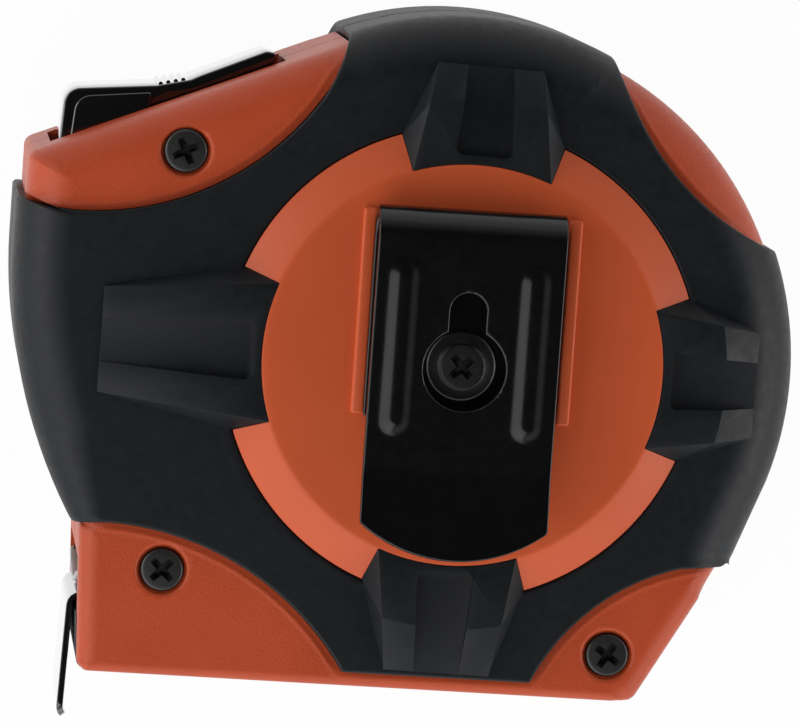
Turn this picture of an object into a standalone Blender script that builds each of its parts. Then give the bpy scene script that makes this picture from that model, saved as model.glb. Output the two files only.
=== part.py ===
"""Pocket tape measure, lying on its plain side with the belt clip up.

A spring-wound reel turns about Z through the origin inside a two-part case. X runs from the mouth
to the rear, Y from the base to the thumb lock, and z = 0 is the flat face that the part lies on.
Half pieces are drawn upwards from the parting plane and then set on either side of it.
"""
import math

import bmesh
import bpy
import numpy as np
from mathutils import Matrix

MM = 0.001

# Blade, reel and recoil spring
BLADE_WIDTH = 25.0 * MM
BLADE_THICK = 0.5 * MM
BLADE_CAMBER = 2.6 * MM
BLADE_OVERHANG = 0.8 * MM
ROLL_RADIUS = 27.0 * MM
ROLL_TURNS = 6
ROLL_TAPE = 1.0 * MM
DRUM_RADIUS = 17.0 * MM
DRUM_WALL = 1.2 * MM
FLANGE = 1.0 * MM
FLANGE_LIP = 1.4 * MM
REEL_WINDOWS = 5
REEL_WINDOW_RADIUS = 3.2 * MM
ARBOR_RADIUS = 3.6 * MM
SOCKET_WALL = 1.7 * MM
SPRING_TURNS = 6
SPRING_TAPE = 0.5 * MM
SPRING_MARGIN = 1.8 * MM

# Clearances
FIT = 0.3 * MM
RUN = 0.4 * MM

# Case walls and layers, counted outwards from the reel
FACE_WALL = 1.9 * MM
SIDE_WALL = 2.6 * MM
GRIP_BED = 1.0 * MM
GRIP_PROUD = 1.05 * MM
DISC_RISE = 2.25 * MM
DISC_WALL = 2.3 * MM
DISC_RADIUS = 21.5 * MM
RING_RADIUS = 25.4 * MM

# Case outline at the parting line, as margins round the full reel
REEL_ROOM = 8.5 * MM
BLADE_LIFT = 8.05 * MM
FRONT_ROOM = 20.35 * MM
FRONT_CREST = 8.8 * MM
NOSE_ROOM = 12.5 * MM
NOSE_HEIGHT = 15.9 * MM
NOSE_LEAN = 0.7 * MM
NOSE_LEDGE = 0.3 * MM
NOSE_STEP = 0.36 * MM
REAR_FOOT = 14.1 * MM
SLANT_RISE = 0.7 * MM
SLANT_TURN = math.radians(-32.2)
REAR_JOIN = math.radians(-18)
TOP_JOIN = math.radians(66)
TOP_RISE = 0.5 * MM
SLOPE = math.radians(22.6)
CORNER_ROUND = 1.3 * MM
SLANT_ROUND = 3.0 * MM

# Width of the rounded shoulder on each stretch of that outline, and its height over its width
SHOULDER_REAR = 5.5 * MM
SHOULDER_TOP = 5.0 * MM
SHOULDER_SLOPE = 4.2 * MM
SHOULDER_FRONT = 5.0 * MM
SHOULDER_NOSE = 2.2 * MM
SHOULDER_BASE = 1.2 * MM
SHOULDER_SLANT = 2.6 * MM
SHOULDER_RISE = 1.2

# Round cut-outs of the grip at the case's corners: direction, band left outside the ring, radius
GRIP_CUTOUTS = (
    (math.radians(133.6), 5.1 * MM, 30.0 * MM),
    (math.radians(44.1), 5.1 * MM, 36.2 * MM),
    (math.radians(-126.0), 6.1 * MM, 32.1 * MM),
    (math.radians(-54.1), 4.7 * MM, 23.8 * MM),
)
BASE_STRIP = 1.7 * MM

# Grip pads: direction, how far each reaches past the ring
PADS = (
    (math.radians(0), 6.4 * MM),
    (math.radians(90), 6.5 * MM),
    (math.radians(180), 13.2 * MM),
    (math.radians(270), 7.4 * MM),
)
PAD_SPREAD = math.radians(20.2)
PAD_END_HALF = 5.65 * MM
PAD_END_STEP = 0.3 * MM
PAD_FLAT = 2.9 * MM
RECESS_INNER_HALF = 3.1 * MM
RECESS_OUTER_HALF = 2.3 * MM
RECESS_START = 0.9 * MM
RECESS_DEPTH = 1.1 * MM

# Case screws: direction and distance past the full reel, or how far behind the lock's pivot
BASE_SCREWS = {
    "case_screw_nose_base": (math.radians(-141.5), 11.85 * MM),
    "case_screw_rear_base": (math.radians(-59.4), 8.55 * MM),
}
LOCK_SCREW = np.array((5.4 * MM, -0.34 * MM))
SCREW_SHANK = 1.2 * MM
SCREW_HEAD = 2.3 * MM
SCREW_HEAD_HEIGHT = 1.6 * MM
SCREW_SINK = 1.9 * MM
SCREW_REACH = 9.0 * MM
SCREW_BOSS = 2.35 * MM

# Belt clip and its screw
CLIP_HALF = 10.0 * MM
CLIP_THICK = 1.0 * MM
CLIP_GAP = 4.4 * MM
CLIP_LOOP = 13.4 * MM
CLIP_BACK = 6.3 * MM
CLIP_BEND = 11.3 * MM
CLIP_TIP = 20.3 * MM
CLIP_PINCH = 0.7 * MM
CLIP_FLARE = 1.7 * MM
CLIP_END_ROUND = 16.0 * MM
KEYHOLE_RADIUS = 4.4 * MM
KEYHOLE_SLOT = 1.95 * MM
KEYHOLE_TOP = 8.2 * MM
BEAD_OFFSET = 7.0 * MM
BEAD_HALF = 1.55 * MM
BEAD_TOP = 11.6 * MM
BEAD_BOTTOM = -7.2 * MM
BEAD_RISE = 0.8 * MM
CLIP_SCREW_SHANK = 1.75 * MM
CLIP_SCREW_HEAD = 2.45 * MM
CLIP_SCREW_FLANGE = 3.7 * MM
CLIP_SCREW_FLANGE_THICK = 0.7 * MM
CLIP_SCREW_HEIGHT = 1.9 * MM
CLIP_SCREW_REACH = 11.0 * MM
CLIP_RIB = 1.4 * MM
CLIP_RIB_RISE = 0.8 * MM

# Thumb lock, its pin and the brake bar that it pushes onto the blade
LEVER_SETBACK = 11.0 * MM
PIVOT_DEPTH = 2.6 * MM
PIVOT_HUB = 2.4 * MM
LEVER_HALF = 7.0 * MM
LEVER_GAP = 0.5 * MM
SLOT_FRONT = 8.8 * MM
SLOT_REAR = 16.0 * MM
PIN_RADIUS = 1.0 * MM
PIN_SEAT = 3.5 * MM
PIN_BLOCK = 2.6 * MM
BRAKE_HALF = 2.2 * MM
BRAKE_TRAVEL = 1.5 * MM
BRAKE_HEAD = 6.3 * MM
GUIDE_HEIGHT = 5.0 * MM

# Mouth, end hook and bumper
MOUTH_SIDE = 0.7 * MM
MOUTH_OVER = 1.0 * MM
MOUTH_UNDER = 1.2 * MM
LIP_DEPTH = 6.0 * MM
LIP_THICK = 2.0 * MM
HOOK_THICK = 0.7 * MM
HOOK_HALF = 9.0 * MM
HOOK_TONGUE_HALF = 6.4 * MM
HOOK_TONGUE = 9.0 * MM
HOOK_BEND = 1.2 * MM
HOOK_DROP = 14.0 * MM
HOOK_FLOAT = 1.0 * MM
RIVET_RADIUS = 0.9 * MM
RIVET_HEAD = 1.4 * MM
RIVET_HEAD_THICK = 0.5 * MM
RIVET_OFFSET = 4.2 * MM
RIVET_SETBACK = 4.8 * MM
BUMPER_THICK = 0.7 * MM
BUMPER_BED = 1.4 * MM
BUMPER_HALF = 14.5 * MM
BUMPER_PEG = 1.0 * MM
BUMPER_PEG_OFFSET = 8.0 * MM

# Sizes and places that follow from those above
CASE_RADIUS = ROLL_RADIUS + REEL_ROOM
BLADE_Y = -(ROLL_RADIUS + RUN + BLADE_THICK / 2)
BASE_Y = BLADE_Y - BLADE_LIFT
FRONT_X = -(ROLL_RADIUS + FRONT_ROOM)
NOSE_X = -(ROLL_RADIUS + NOSE_ROOM)
NOSE_Y = BASE_Y + NOSE_HEIGHT
FLANGE_RADIUS = ROLL_RADIUS + FLANGE_LIP
FLANGE_INNER = BLADE_WIDTH / 2 + RUN
FLANGE_OUTER = FLANGE_INNER + FLANGE
CAVITY = FLANGE_OUTER + RUN
BED_FACE = CAVITY + FACE_WALL
PANEL_FACE = BED_FACE + GRIP_BED
GRIP_FACE = PANEL_FACE + GRIP_PROUD
DISC_FACE = GRIP_FACE + DISC_RISE
DISC_CEILING = DISC_FACE - DISC_WALL
ARBOR_END = DISC_CEILING - 2 * FIT
MID = DISC_FACE
CLIP_BACK_MID = DISC_FACE + FIT + CLIP_THICK / 2
CLIP_FRONT_MID = CLIP_BACK_MID + CLIP_THICK + CLIP_GAP
MOUTH_TOP = BLADE_Y + BLADE_CAMBER + BLADE_THICK / 2 + MOUTH_OVER
HOOK_TOP = BLADE_Y - BLADE_THICK / 2 - FIT
MOUTH_FLOOR = HOOK_TOP - HOOK_THICK - MOUTH_UNDER
BUMPER_SEAT = NOSE_X + BUMPER_BED
HOOK_FACE = BUMPER_SEAT - FIT - BUMPER_THICK - FIT
BLADE_END = HOOK_FACE - HOOK_THICK - BLADE_OVERHANG
RIVET_X = HOOK_FACE + RIVET_SETBACK
SLOPE_NORMAL = np.array((-math.sin(SLOPE), math.cos(SLOPE)))
SLOPE_ALONG = np.array((math.cos(SLOPE), math.sin(SLOPE)))
SLOPE_REACH = CASE_RADIUS + TOP_RISE
NOSE_TOP = np.array((FRONT_X, (SLOPE_REACH + FRONT_X * math.sin(SLOPE)) / math.cos(SLOPE)))
PIVOT = NOSE_TOP + SLOPE_ALONG * LEVER_SETBACK - SLOPE_NORMAL * PIVOT_DEPTH
LEVER_FLOOR = -PIVOT_HUB
NOSE_SAG = NOSE_X + NOSE_STEP - FRONT_X
FRONT_BEND = ((FRONT_CREST - NOSE_Y) ** 2 + NOSE_SAG**2) / (2 * NOSE_SAG)
FAR = 60.0 * MM

RAYS = 48
ROUND_STEPS = 40
SMALL_STEPS = 16
CUTOUT_STEPS = 72


def turn(angle):
    return np.array((math.cos(angle), math.sin(angle)))


def arc(centre, radius, start, end, step=math.radians(4)):
    count = max(2, math.ceil(abs(end - start) / step))
    return np.array([np.asarray(centre) + radius * turn(a) for a in np.linspace(start, end, count + 1)])


def fillet(before, corner, after, radius):
    """Round off one corner of a chain: the arc's points, from the first side to the second."""
    one = (before - corner) / np.linalg.norm(before - corner)
    two = (after - corner) / np.linalg.norm(after - corner)
    half = math.acos(float(one @ two)) / 2
    middle = (one + two) / np.linalg.norm(one + two)
    centre = corner + middle * radius / math.sin(half)
    start = corner + one * radius / math.tan(half) - centre
    end = corner + two * radius / math.tan(half) - centre
    first = math.atan2(start[1], start[0])
    sweep = (math.atan2(end[1], end[0]) - first + math.pi) % (2 * math.pi) - math.pi
    return arc(centre, radius, first, first + sweep, math.radians(25))


def chain(points, radii, shoulders):
    """Lines through the points with rounded corners between, as stretches with their shoulder widths."""
    stretches = []
    start = points[0]
    for i, radius in enumerate(radii):
        bend = fillet(points[i], points[i + 1], points[i + 2], radius)
        stretches.append((np.array((start, bend[0])), shoulders[i]))
        stretches.append((bend, shoulders[i + 1]))
        start = bend[-1]
    stretches.append((np.array((start, points[-1])), shoulders[-1]))
    return stretches


def case_stretches():
    """The case outline at the parting line, counter-clockwise from the rear: arcs and lines."""
    join = CASE_RADIUS * turn(TOP_JOIN)
    reach = join @ SLOPE_NORMAL
    square = CASE_RADIUS**2 - 2 * SLOPE_REACH * reach + SLOPE_REACH**2
    top_radius = square / (2 * (SLOPE_REACH - reach))
    top_centre = SLOPE_NORMAL * (SLOPE_REACH - top_radius)
    top_start = math.atan2(*(join - top_centre)[::-1])
    top = arc(top_centre, top_radius, top_start, math.pi / 2 + SLOPE)
    front_centre = np.array((FRONT_X + FRONT_BEND, FRONT_CREST))
    front_end = math.pi + math.asin((FRONT_CREST - NOSE_Y) / FRONT_BEND)
    front = arc(front_centre, FRONT_BEND, math.pi, front_end)
    rear = arc((0, 0), CASE_RADIUS, REAR_JOIN, TOP_JOIN)
    corners = [
        front[-1],
        np.array((NOSE_X, NOSE_Y - NOSE_LEDGE)),
        np.array((NOSE_X + NOSE_LEAN, BASE_Y)),
        np.array((CASE_RADIUS - REAR_FOOT, BASE_Y)),
        (CASE_RADIUS + SLANT_RISE) * turn(SLANT_TURN),
        rear[0],
    ]
    rounds = [CORNER_ROUND / 2, CORNER_ROUND, CORNER_ROUND, SLANT_ROUND]
    widths = [SHOULDER_NOSE, SHOULDER_NOSE, SHOULDER_BASE, SHOULDER_SLANT, SHOULDER_REAR]
    stretches = [(rear, SHOULDER_REAR), (top, SHOULDER_TOP)]
    stretches += chain([top[-1], NOSE_TOP, front[0]], [CORNER_ROUND], [SHOULDER_SLOPE, SHOULDER_FRONT])
    stretches.append((front, SHOULDER_FRONT))
    stretches += chain(corners, rounds, widths)
    return stretches


class Outline:
    """The case outline read along rays from the reel's axis, so that every layer shares its points."""

    def __init__(self, stretches):
        self.stretches = stretches
        keys = []
        for points, _ in stretches:
            few = points if len(points) < 6 else points[[0, -1]]
            keys += [math.atan2(y, x) % (2 * math.pi) for x, y in few]
        keys = sorted(keys)
        kept = [keys[0]]
        for key in keys[1:]:
            if key - kept[-1] > math.radians(0.3):
                kept.append(key)
        for angle in np.linspace(0, 2 * math.pi, RAYS, endpoint=False):
            if min(abs((angle - k + math.pi) % (2 * math.pi) - math.pi) for k in kept) > math.radians(1.5):
                kept.append(float(angle))
        self.angles = np.array(sorted(kept))
        self.rays = np.stack((np.cos(self.angles), np.sin(self.angles)), axis=1)
        self.edge = np.array([self.reach(ray) for ray in self.rays])

    def reach(self, ray):
        """Distance from the axis to the outline along one ray."""
        best = 0.0
        for points, _ in self.stretches:
            for a, b in zip(points[:-1], points[1:]):
                across = b - a
                cross = ray[0] * across[1] - ray[1] * across[0]
                if abs(cross) < 1e-12:
                    continue
                along = (a[0] * across[1] - a[1] * across[0]) / cross
                share = (a[0] * ray[1] - a[1] * ray[0]) / cross
                if -1e-6 <= share <= 1 + 1e-6:
                    best = max(best, along)
        return best

    def depth(self, places, scaled):
        """How far inside the outline each place lies, in metres or in shoulder widths."""
        least = np.full(len(places), np.inf)
        for points, shoulder in self.stretches:
            for a, b in zip(points[:-1], points[1:]):
                across = b - a
                share = np.clip((places - a) @ across / (across @ across), 0, 1)
                away = np.linalg.norm(places - a - share[:, None] * across, axis=1)
                least = np.minimum(least, away / shoulder if scaled else away)
        return least

    def inset(self, level, scaled):
        """The closed ring of points that lie level deep inside the outline."""
        low = np.zeros(len(self.rays))
        high = self.edge.copy()
        for _ in range(40):
            middle = (low + high) / 2
            inside = self.depth(self.rays * middle[:, None], scaled) > level
            low = np.where(inside, middle, low)
            high = np.where(inside, high, middle)
        return self.rays * low[:, None]


def outward(ring):
    along = np.roll(ring, -1, axis=0) - np.roll(ring, 1, axis=0)
    normal = np.stack((along[:, 1], -along[:, 0]), axis=1)
    return normal / np.linalg.norm(normal, axis=1)[:, None]


OUTLINE = Outline(case_stretches())


def material(name, colour, roughness, metallic=0.0):
    made = bpy.data.materials.new(name)
    made.use_nodes = True
    shader = made.node_tree.nodes["Principled BSDF"]
    shader.inputs["Base Color"].default_value = (*colour, 1.0)
    shader.inputs["Roughness"].default_value = roughness
    shader.inputs["Metallic"].default_value = metallic
    return made


def mesh_object(name, points, faces):
    mesh = bpy.data.meshes.new(name)
    mesh.from_pydata([tuple(map(float, p)) for p in points], [], [list(map(int, f)) for f in faces])
    work = bmesh.new()
    work.from_mesh(mesh)
    bmesh.ops.recalc_face_normals(work, faces=work.faces)
    work.to_mesh(mesh)
    work.free()
    made = bpy.data.objects.new(name, mesh)
    bpy.context.collection.objects.link(made)
    return made


def stack(name, rings):
    """Closed solid through rings of equal count, with a flat cap at both ends."""
    count = len(rings[0])
    points = [p for ring in rings for p in ring]
    faces = []
    for level in range(len(rings) - 1):
        for i in range(count):
            j = (i + 1) % count
            low, high = level * count, (level + 1) * count
            faces.append((low + i, low + j, high + j, high + i))
    for level in (0, len(rings) - 1):
        faces.append(range(level * count, (level + 1) * count))
    return mesh_object(name, points, faces)


def flat_ring(outline, height):
    return np.column_stack((outline, np.full(len(outline), height)))


def prism(name, outline, low, high, axis="Z"):
    """Extrude an outline along Z, or along X with the outline given as Y and Z."""
    count = len(outline)
    flat = [(*p, w) if axis == "Z" else (w, *p) for w in (low, high) for p in outline]
    faces = [tuple(range(count)), tuple(range(count, 2 * count))]
    faces += [(i, (i + 1) % count, count + (i + 1) % count, count + i) for i in range(count)]
    return mesh_object(name, flat, faces)


def block(name, x, y, z):
    return prism(name, [(x[0], y[0]), (x[1], y[0]), (x[1], y[1]), (x[0], y[1])], z[0], z[1])


def turned(name, profile, steps=ROUND_STEPS, closed=False):
    """Turn a profile of radius and height about Z; an open one has flat caps at its ends."""
    spokes = [turn(a) for a in np.linspace(0, 2 * math.pi, steps, endpoint=False)]
    rings = [np.array([(radius * s[0], radius * s[1], height) for s in spokes]) for radius, height in profile]
    if not closed:
        return stack(name, rings)
    count = len(rings) * steps
    faces = []
    for low in range(0, count, steps):
        high = (low + steps) % count
        for i in range(steps):
            j = (i + 1) % steps
            faces.append((low + i, low + j, high + j, high + i))
    return mesh_object(name, np.concatenate(rings), faces)


def cylinder(name, centre, radius, low, high, steps=SMALL_STEPS):
    made = turned(name, [(radius, low), (radius, high)], steps)
    made.data.transform(Matrix.Translation((centre[0], centre[1], 0)))
    return made


def combine(target, tool, operation):
    """Apply one Boolean step to the target and drop the tool."""
    step = target.modifiers.new("step", "BOOLEAN")
    step.operation = operation
    step.object = tool
    step.solver = "EXACT"
    graph = bpy.context.evaluated_depsgraph_get()
    result = bpy.data.meshes.new_from_object(target.evaluated_get(graph))
    target.modifiers.clear()
    old = target.data
    target.data = result
    bpy.data.meshes.remove(old)
    bpy.data.objects.remove(tool, do_unlink=True)


def carve(target, tool):
    combine(target, tool, "DIFFERENCE")


def join(target, tool):
    combine(target, tool, "UNION")


def finish(made, paint, parent=None, smooth=math.radians(32)):
    """Give a finished piece its material, its shading and its carrier."""
    made.data.materials.clear()
    made.data.materials.append(paint)
    made.data.shade_smooth()
    made.data.set_sharp_from_angle(angle=smooth)
    made.parent = parent


def set_half(made, side, paint):
    """Set a half piece above the parting plane, or mirrored below it."""
    if side < 0:
        made.data.transform(Matrix.Diagonal((1, 1, -1, 1)))
        made.data.flip_normals()
    made.location = (0, 0, MID)
    finish(made, paint)


def carrier(name, place):
    """An empty on a joint's axis that carries the pieces of one moving body."""
    empty = bpy.data.objects.new(name, None)
    empty.location = place
    bpy.context.collection.objects.link(empty)
    return empty


def case_skin(name, offset, floor):
    """Solid of one case half out to the panels' skin, moved outwards by an offset."""
    rise = SHOULDER_RISE * OUTLINE.depth(OUTLINE.inset(1, True), False)
    rings = []
    for angle in np.linspace(0, math.pi / 2, 5):
        ring = OUTLINE.inset(1 - math.cos(angle), True)
        square = np.clip((outward(ring) * OUTLINE.rays).sum(axis=1), 0.65, 1)
        ring = ring + OUTLINE.rays * (offset * math.cos(angle) / square)[:, None]
        height = PANEL_FACE - rise * (1 - math.sin(angle)) + offset * math.sin(angle)
        if not rings:
            rings.append(flat_ring(ring, floor))
        rings.append(np.column_stack((ring, height)))
    return stack(name, rings)


def grip_region(grow):
    """Prism of the cross-shaped region that the grip covers, grown or shrunk at its borders."""
    low = BASE_Y + BASE_STRIP - grow
    region = block("grip_region", (-2 * FAR, 2 * FAR), (low, 2 * FAR), (-5 * MM, FAR))
    for angle, band, radius in GRIP_CUTOUTS:
        centre = (RING_RADIUS + band + radius) * turn(angle)
        carve(region, cylinder("cutout", centre, radius - grow, -6 * MM, FAR + MM, CUTOUT_STEPS))
    return region


def pad_corners(angle, reach, spread):
    """Plan points of one pad: inner corners, ring corners and end corners, on both sides."""
    along, across = turn(angle), turn(angle + math.pi / 2)
    end = along * (RING_RADIUS + reach)
    inner = [DISC_RADIUS * turn(angle + s * spread) for s in (-1, 1)]
    ring = [RING_RADIUS * turn(angle + s * spread) for s in (-1, 1)]
    tip = [end + across * s * PAD_END_HALF for s in (-1, 1)]
    return inner, ring, tip


def pad_crease(inner, tip):
    """Point on a pad's upper edge where its flat top ends and its slope begins."""
    along = tip - inner
    square = along @ along
    half = inner @ along / square
    rest = (inner @ inner - (RING_RADIUS + PAD_FLAT) ** 2) / square
    return inner + along * (math.sqrt(half * half - rest) - half)


def grip_pad(angle, reach):
    """Wedge buttress, flat and flush with the disc before it slopes to the grip, with an open recess."""
    inner, ring, tip = pad_corners(angle, reach, PAD_SPREAD)
    crease = [pad_crease(a, b) for a, b in zip(inner, tip)]
    root = BED_FACE + FIT + GRIP_BED / 4
    end = GRIP_FACE + PAD_END_STEP
    points = [(*p, DISC_FACE) for p in inner + crease] + [(*p, root) for p in inner]
    points += [(*p, GRIP_FACE) for p in ring] + [(*p, root) for p in ring]
    points += [(*p, end) for p in tip] + [(*p, root) for p in tip]
    work = bmesh.new()
    for p in points:
        work.verts.new(p)
    hull = bmesh.ops.convex_hull(work, input=work.verts)
    loose = [v for v in hull["geom_interior"] + hull["geom_unused"] if isinstance(v, bmesh.types.BMVert)]
    bmesh.ops.delete(work, geom=loose, context="VERTS")
    bmesh.ops.recalc_face_normals(work, faces=work.faces)
    mesh = bpy.data.meshes.new("pad")
    work.to_mesh(mesh)
    work.free()
    pad = bpy.data.objects.new("pad", mesh)
    bpy.context.collection.objects.link(pad)
    carve(pad, cylinder("disc", (0, 0), DISC_RADIUS + FIT, 0, FAR, ROUND_STEPS))
    return pad


def pad_recess(angle, reach):
    """Cutter for a pad's recess: its floor falls from below the pad's top to the grip's face."""
    along, across = turn(angle), turn(angle + math.pi / 2)
    start = DISC_RADIUS + RECESS_START
    end = RING_RADIUS + reach + 2 * MM
    round_off = RECESS_INNER_HALF / 2
    side = RECESS_INNER_HALF - round_off
    plan = [(start, -side), (start + round_off / 3, -side - round_off * 2 / 3)]
    plan += [(start + round_off, -RECESS_INNER_HALF), (end, -RECESS_OUTER_HALF)]
    plan += [(u, -v) for u, v in reversed(plan)]
    places = np.array([along * u + across * v for u, v in plan])
    share = np.array([(u - start) / (end - start) for u, _ in plan])
    high = DISC_FACE - RECESS_DEPTH
    floor = high + (GRIP_FACE + PAD_END_STEP / 3 - high) * share
    return stack("recess", [np.column_stack((places, floor)), flat_ring(places, FAR)])


def build_grip(side, paint):
    name = "clip_side_grip" if side > 0 else "label_side_grip"
    grip = case_skin(name, GRIP_PROUD, FIT / 2)
    combine(grip, grip_region(-FIT / 2), "INTERSECT")
    carve(grip, case_skin("bed", -GRIP_BED + FIT, -3 * MM))
    carve(grip, cylinder("ring", (0, 0), RING_RADIUS + FIT, -4 * MM, FAR, ROUND_STEPS))
    for angle, reach in PADS:
        join(grip, grip_pad(angle, reach))
        carve(grip, pad_recess(angle, reach))
    set_half(grip, side, paint)


def raised_disc():
    """Disc and sloping ring on the case's face, notched where the grip's pads lie."""
    low = CAVITY + FACE_WALL / 2
    profile = [(RING_RADIUS, low), (RING_RADIUS, GRIP_FACE), (DISC_RADIUS, DISC_FACE)]
    disc = turned("disc", profile)
    for angle, _ in PADS:
        spread = PAD_SPREAD + FIT / DISC_RADIUS
        plan = [DISC_RADIUS * turn(angle + a) for a in np.linspace(-spread, spread, 7)]
        plan += [1.5 * RING_RADIUS * turn(angle + a) for a in (spread, -spread)]
        carve(disc, prism("notch", plan, low - MM, FAR))
    return disc


def sunk_hole(place):
    """Cutter for a case screw's clearance hole and the round well that hides its head."""
    hole, well = SCREW_SHANK + FIT, SCREW_HEAD + FIT
    floor = PANEL_FACE - SCREW_SINK
    profile = [(hole, -2 * MM), (hole, floor), (well, floor), (well, FAR)]
    made = turned("sunk_hole", profile, SMALL_STEPS)
    made.data.transform(Matrix.Translation((*place, 0)))
    return made


def screw_places():
    places = {"case_screw_nose_top": PIVOT + LOCK_SCREW}
    for name, (angle, past) in BASE_SCREWS.items():
        places[name] = (ROLL_RADIUS + past) * turn(angle)
    return places


def brake_route():
    """The bar's left side where it passes the front wall, and the width that the screw boss leaves it."""
    foot = NOSE_X + NOSE_LEAN / 2 + SIDE_WALL + RUN
    boss = screw_places()["case_screw_nose_base"][0] - SCREW_BOSS
    return foot, boss - RUN - foot


def case_hollow():
    """Room for the reel and the blade inside one half."""
    rings = [flat_ring(OUTLINE.inset(SIDE_WALL, False), h) for h in (-2 * MM, CAVITY - SIDE_WALL / 2)]
    rings.append(flat_ring(OUTLINE.inset(SIDE_WALL * 1.4, False), CAVITY))
    return stack("hollow", rings)


def lever_slot():
    """Opening in the sloping top that the lock rocks in."""
    reach = SLOPE_REACH - SIDE_WALL * 1.3
    plan = []
    for x in (PIVOT[0] - SLOT_FRONT, PIVOT[0] + SLOT_REAR):
        plan.append((x, (reach + x * math.sin(SLOPE)) / math.cos(SLOPE)))
    plan += [(x, FAR) for x, _ in reversed(plan)]
    return prism("slot", plan, -2 * MM, LEVER_HALF + LEVER_GAP)


def add_inner_ribs(shell):
    """Bosses for the screws, the arbor's socket, the lock's bearing block, guides and the mouth's lip."""
    up = CAVITY + FACE_WALL / 2
    for place in screw_places().values():
        join(shell, cylinder("boss", place, SCREW_BOSS, FIT, up))
    join(shell, cylinder("socket", (0, 0), ARBOR_RADIUS + FIT + SOCKET_WALL, CAVITY, DISC_CEILING + MM, 32))
    seat = LEVER_HALF + LEVER_GAP
    depth = PIVOT[1] - PIN_BLOCK, PIVOT[1] + PIVOT_DEPTH * 0.4
    height = seat, seat + PIN_SEAT + PIN_RADIUS
    join(shell, block("bearing", (PIVOT[0] - PIN_BLOCK, PIVOT[0] + PIN_BLOCK), depth, height))
    guide = PIVOT[0] - BRAKE_HEAD - brake_route()[1] / 2, PIVOT[0]
    join(shell, block("guide", guide, (GUIDE_HEIGHT / 9, GUIDE_HEIGHT), (BRAKE_HALF + FIT, up)))
    lip = NOSE_X + SIDE_WALL / 2, NOSE_X + SIDE_WALL + LIP_DEPTH
    join(shell, block("lip", lip, (MOUTH_FLOOR - LIP_THICK, MOUTH_FLOOR - FIT / 3), (FIT * 0.8, up)))


def cut_openings(shell):
    """Mouth, bumper seat and holes that both halves share."""
    wide = BLADE_WIDTH / 2 + MOUTH_SIDE
    carve(shell, block("mouth", (-FAR, NOSE_X + SIDE_WALL * 2), (MOUTH_FLOOR, MOUTH_TOP), (-2 * MM, wide)))
    carve(shell, block("seat", (-FAR, BUMPER_SEAT), (-FAR, MOUTH_FLOOR + FIT), (-2 * MM, FAR)))
    peg = cylinder("peg_hole", (0, 0), BUMPER_PEG + FIT, -SIDE_WALL * 2, FAR, 12)
    peg.data.transform(Matrix.Rotation(math.radians(-90), 4, "Y"))
    peg.data.transform(Matrix.Translation((BUMPER_SEAT, peg_height(), BUMPER_PEG_OFFSET)))
    carve(shell, peg)
    seat = LEVER_HALF + LEVER_GAP + PIN_SEAT + FIT
    carve(shell, cylinder("pin_seat", PIVOT, PIN_RADIUS + FIT, -2 * MM, seat))
    carve(shell, cylinder("arbor", (0, 0), ARBOR_RADIUS + FIT, 0, ARBOR_END + FIT, 32))


def build_shell(side, paint):
    name = "clip_side_shell" if side > 0 else "label_side_shell"
    shell = case_skin(name, 0, FIT / 2)
    bed = grip_region(FIT / 2)
    carve(bed, case_skin("core", -GRIP_BED, -8 * MM))
    carve(shell, bed)
    join(shell, raised_disc())
    carve(shell, case_hollow())
    carve(shell, cylinder("well", (0, 0), DISC_RADIUS - DISC_WALL, CAVITY - MM, DISC_CEILING, ROUND_STEPS))
    carve(shell, lever_slot())
    add_inner_ribs(shell)
    cut_openings(shell)
    for place in screw_places().values():
        if side > 0:
            carve(shell, sunk_hole(place))
        else:
            carve(shell, cylinder("pilot", place, SCREW_SHANK + FIT, -2 * MM, SCREW_REACH + FIT))
    if side > 0:
        carve(shell, cylinder("clip_hole", (0, 0), CLIP_SCREW_SHANK + FIT, DISC_CEILING - MM, FAR))
        for x in (-1, 1):
            inner = CLIP_HALF + FIT
            span = sorted((x * inner, x * (inner + CLIP_RIB)))
            length = -CLIP_BACK, CLIP_LOOP + CLIP_GAP / 2
            join(shell, block("rib", span, length, (DISC_FACE - MM, DISC_FACE + CLIP_RIB_RISE)))
    set_half(shell, side, paint)


def phillips_screw(name, radii, heights, reach, flange=None):
    """Pan-head screw with a cross recess; its head's underside is at z = 0."""
    shank, head = radii
    height = heights
    foot = shank * 0.6
    profile = [(foot, -reach), (shank, -reach + shank), (shank, 0)]
    base = 0.0
    if flange:
        profile += [(flange[0], 0), (flange[0], flange[1] * 0.7), (head, flange[1])]
        base = flange[1]
    else:
        profile.append((head, 0))
    dome = height - base
    profile += [(head, base + dome * 0.45), (head * 0.82, base + dome * 0.82), (head * 0.45, height)]
    made = turned(name, profile, SMALL_STEPS)
    wing, half = head * 0.62, head * 0.15
    for x, y in ((wing, half), (half, wing)):
        low = [(-x * 0.55, -y), (x * 0.55, -y), (x * 0.55, y), (-x * 0.55, y)]
        high = [(-x, -y), (x, -y), (x, y), (-x, y)]
        if x < y:
            low = [(-x, -y * 0.55), (x, -y * 0.55), (x, y * 0.55), (-x, y * 0.55)]
        depth = height - dome * 0.75
        carve(made, stack("cross", [flat_ring(np.array(low), depth), flat_ring(np.array(high), height + MM)]))
    return made


def build_case_screws(paint):
    for name, place in screw_places().items():
        seat = PANEL_FACE - SCREW_SINK + FIT
        made = phillips_screw(name, (SCREW_SHANK, SCREW_HEAD), SCREW_HEAD_HEIGHT, seat + SCREW_REACH)
        made.location = (*place, MID + seat)
        finish(made, paint)


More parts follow.
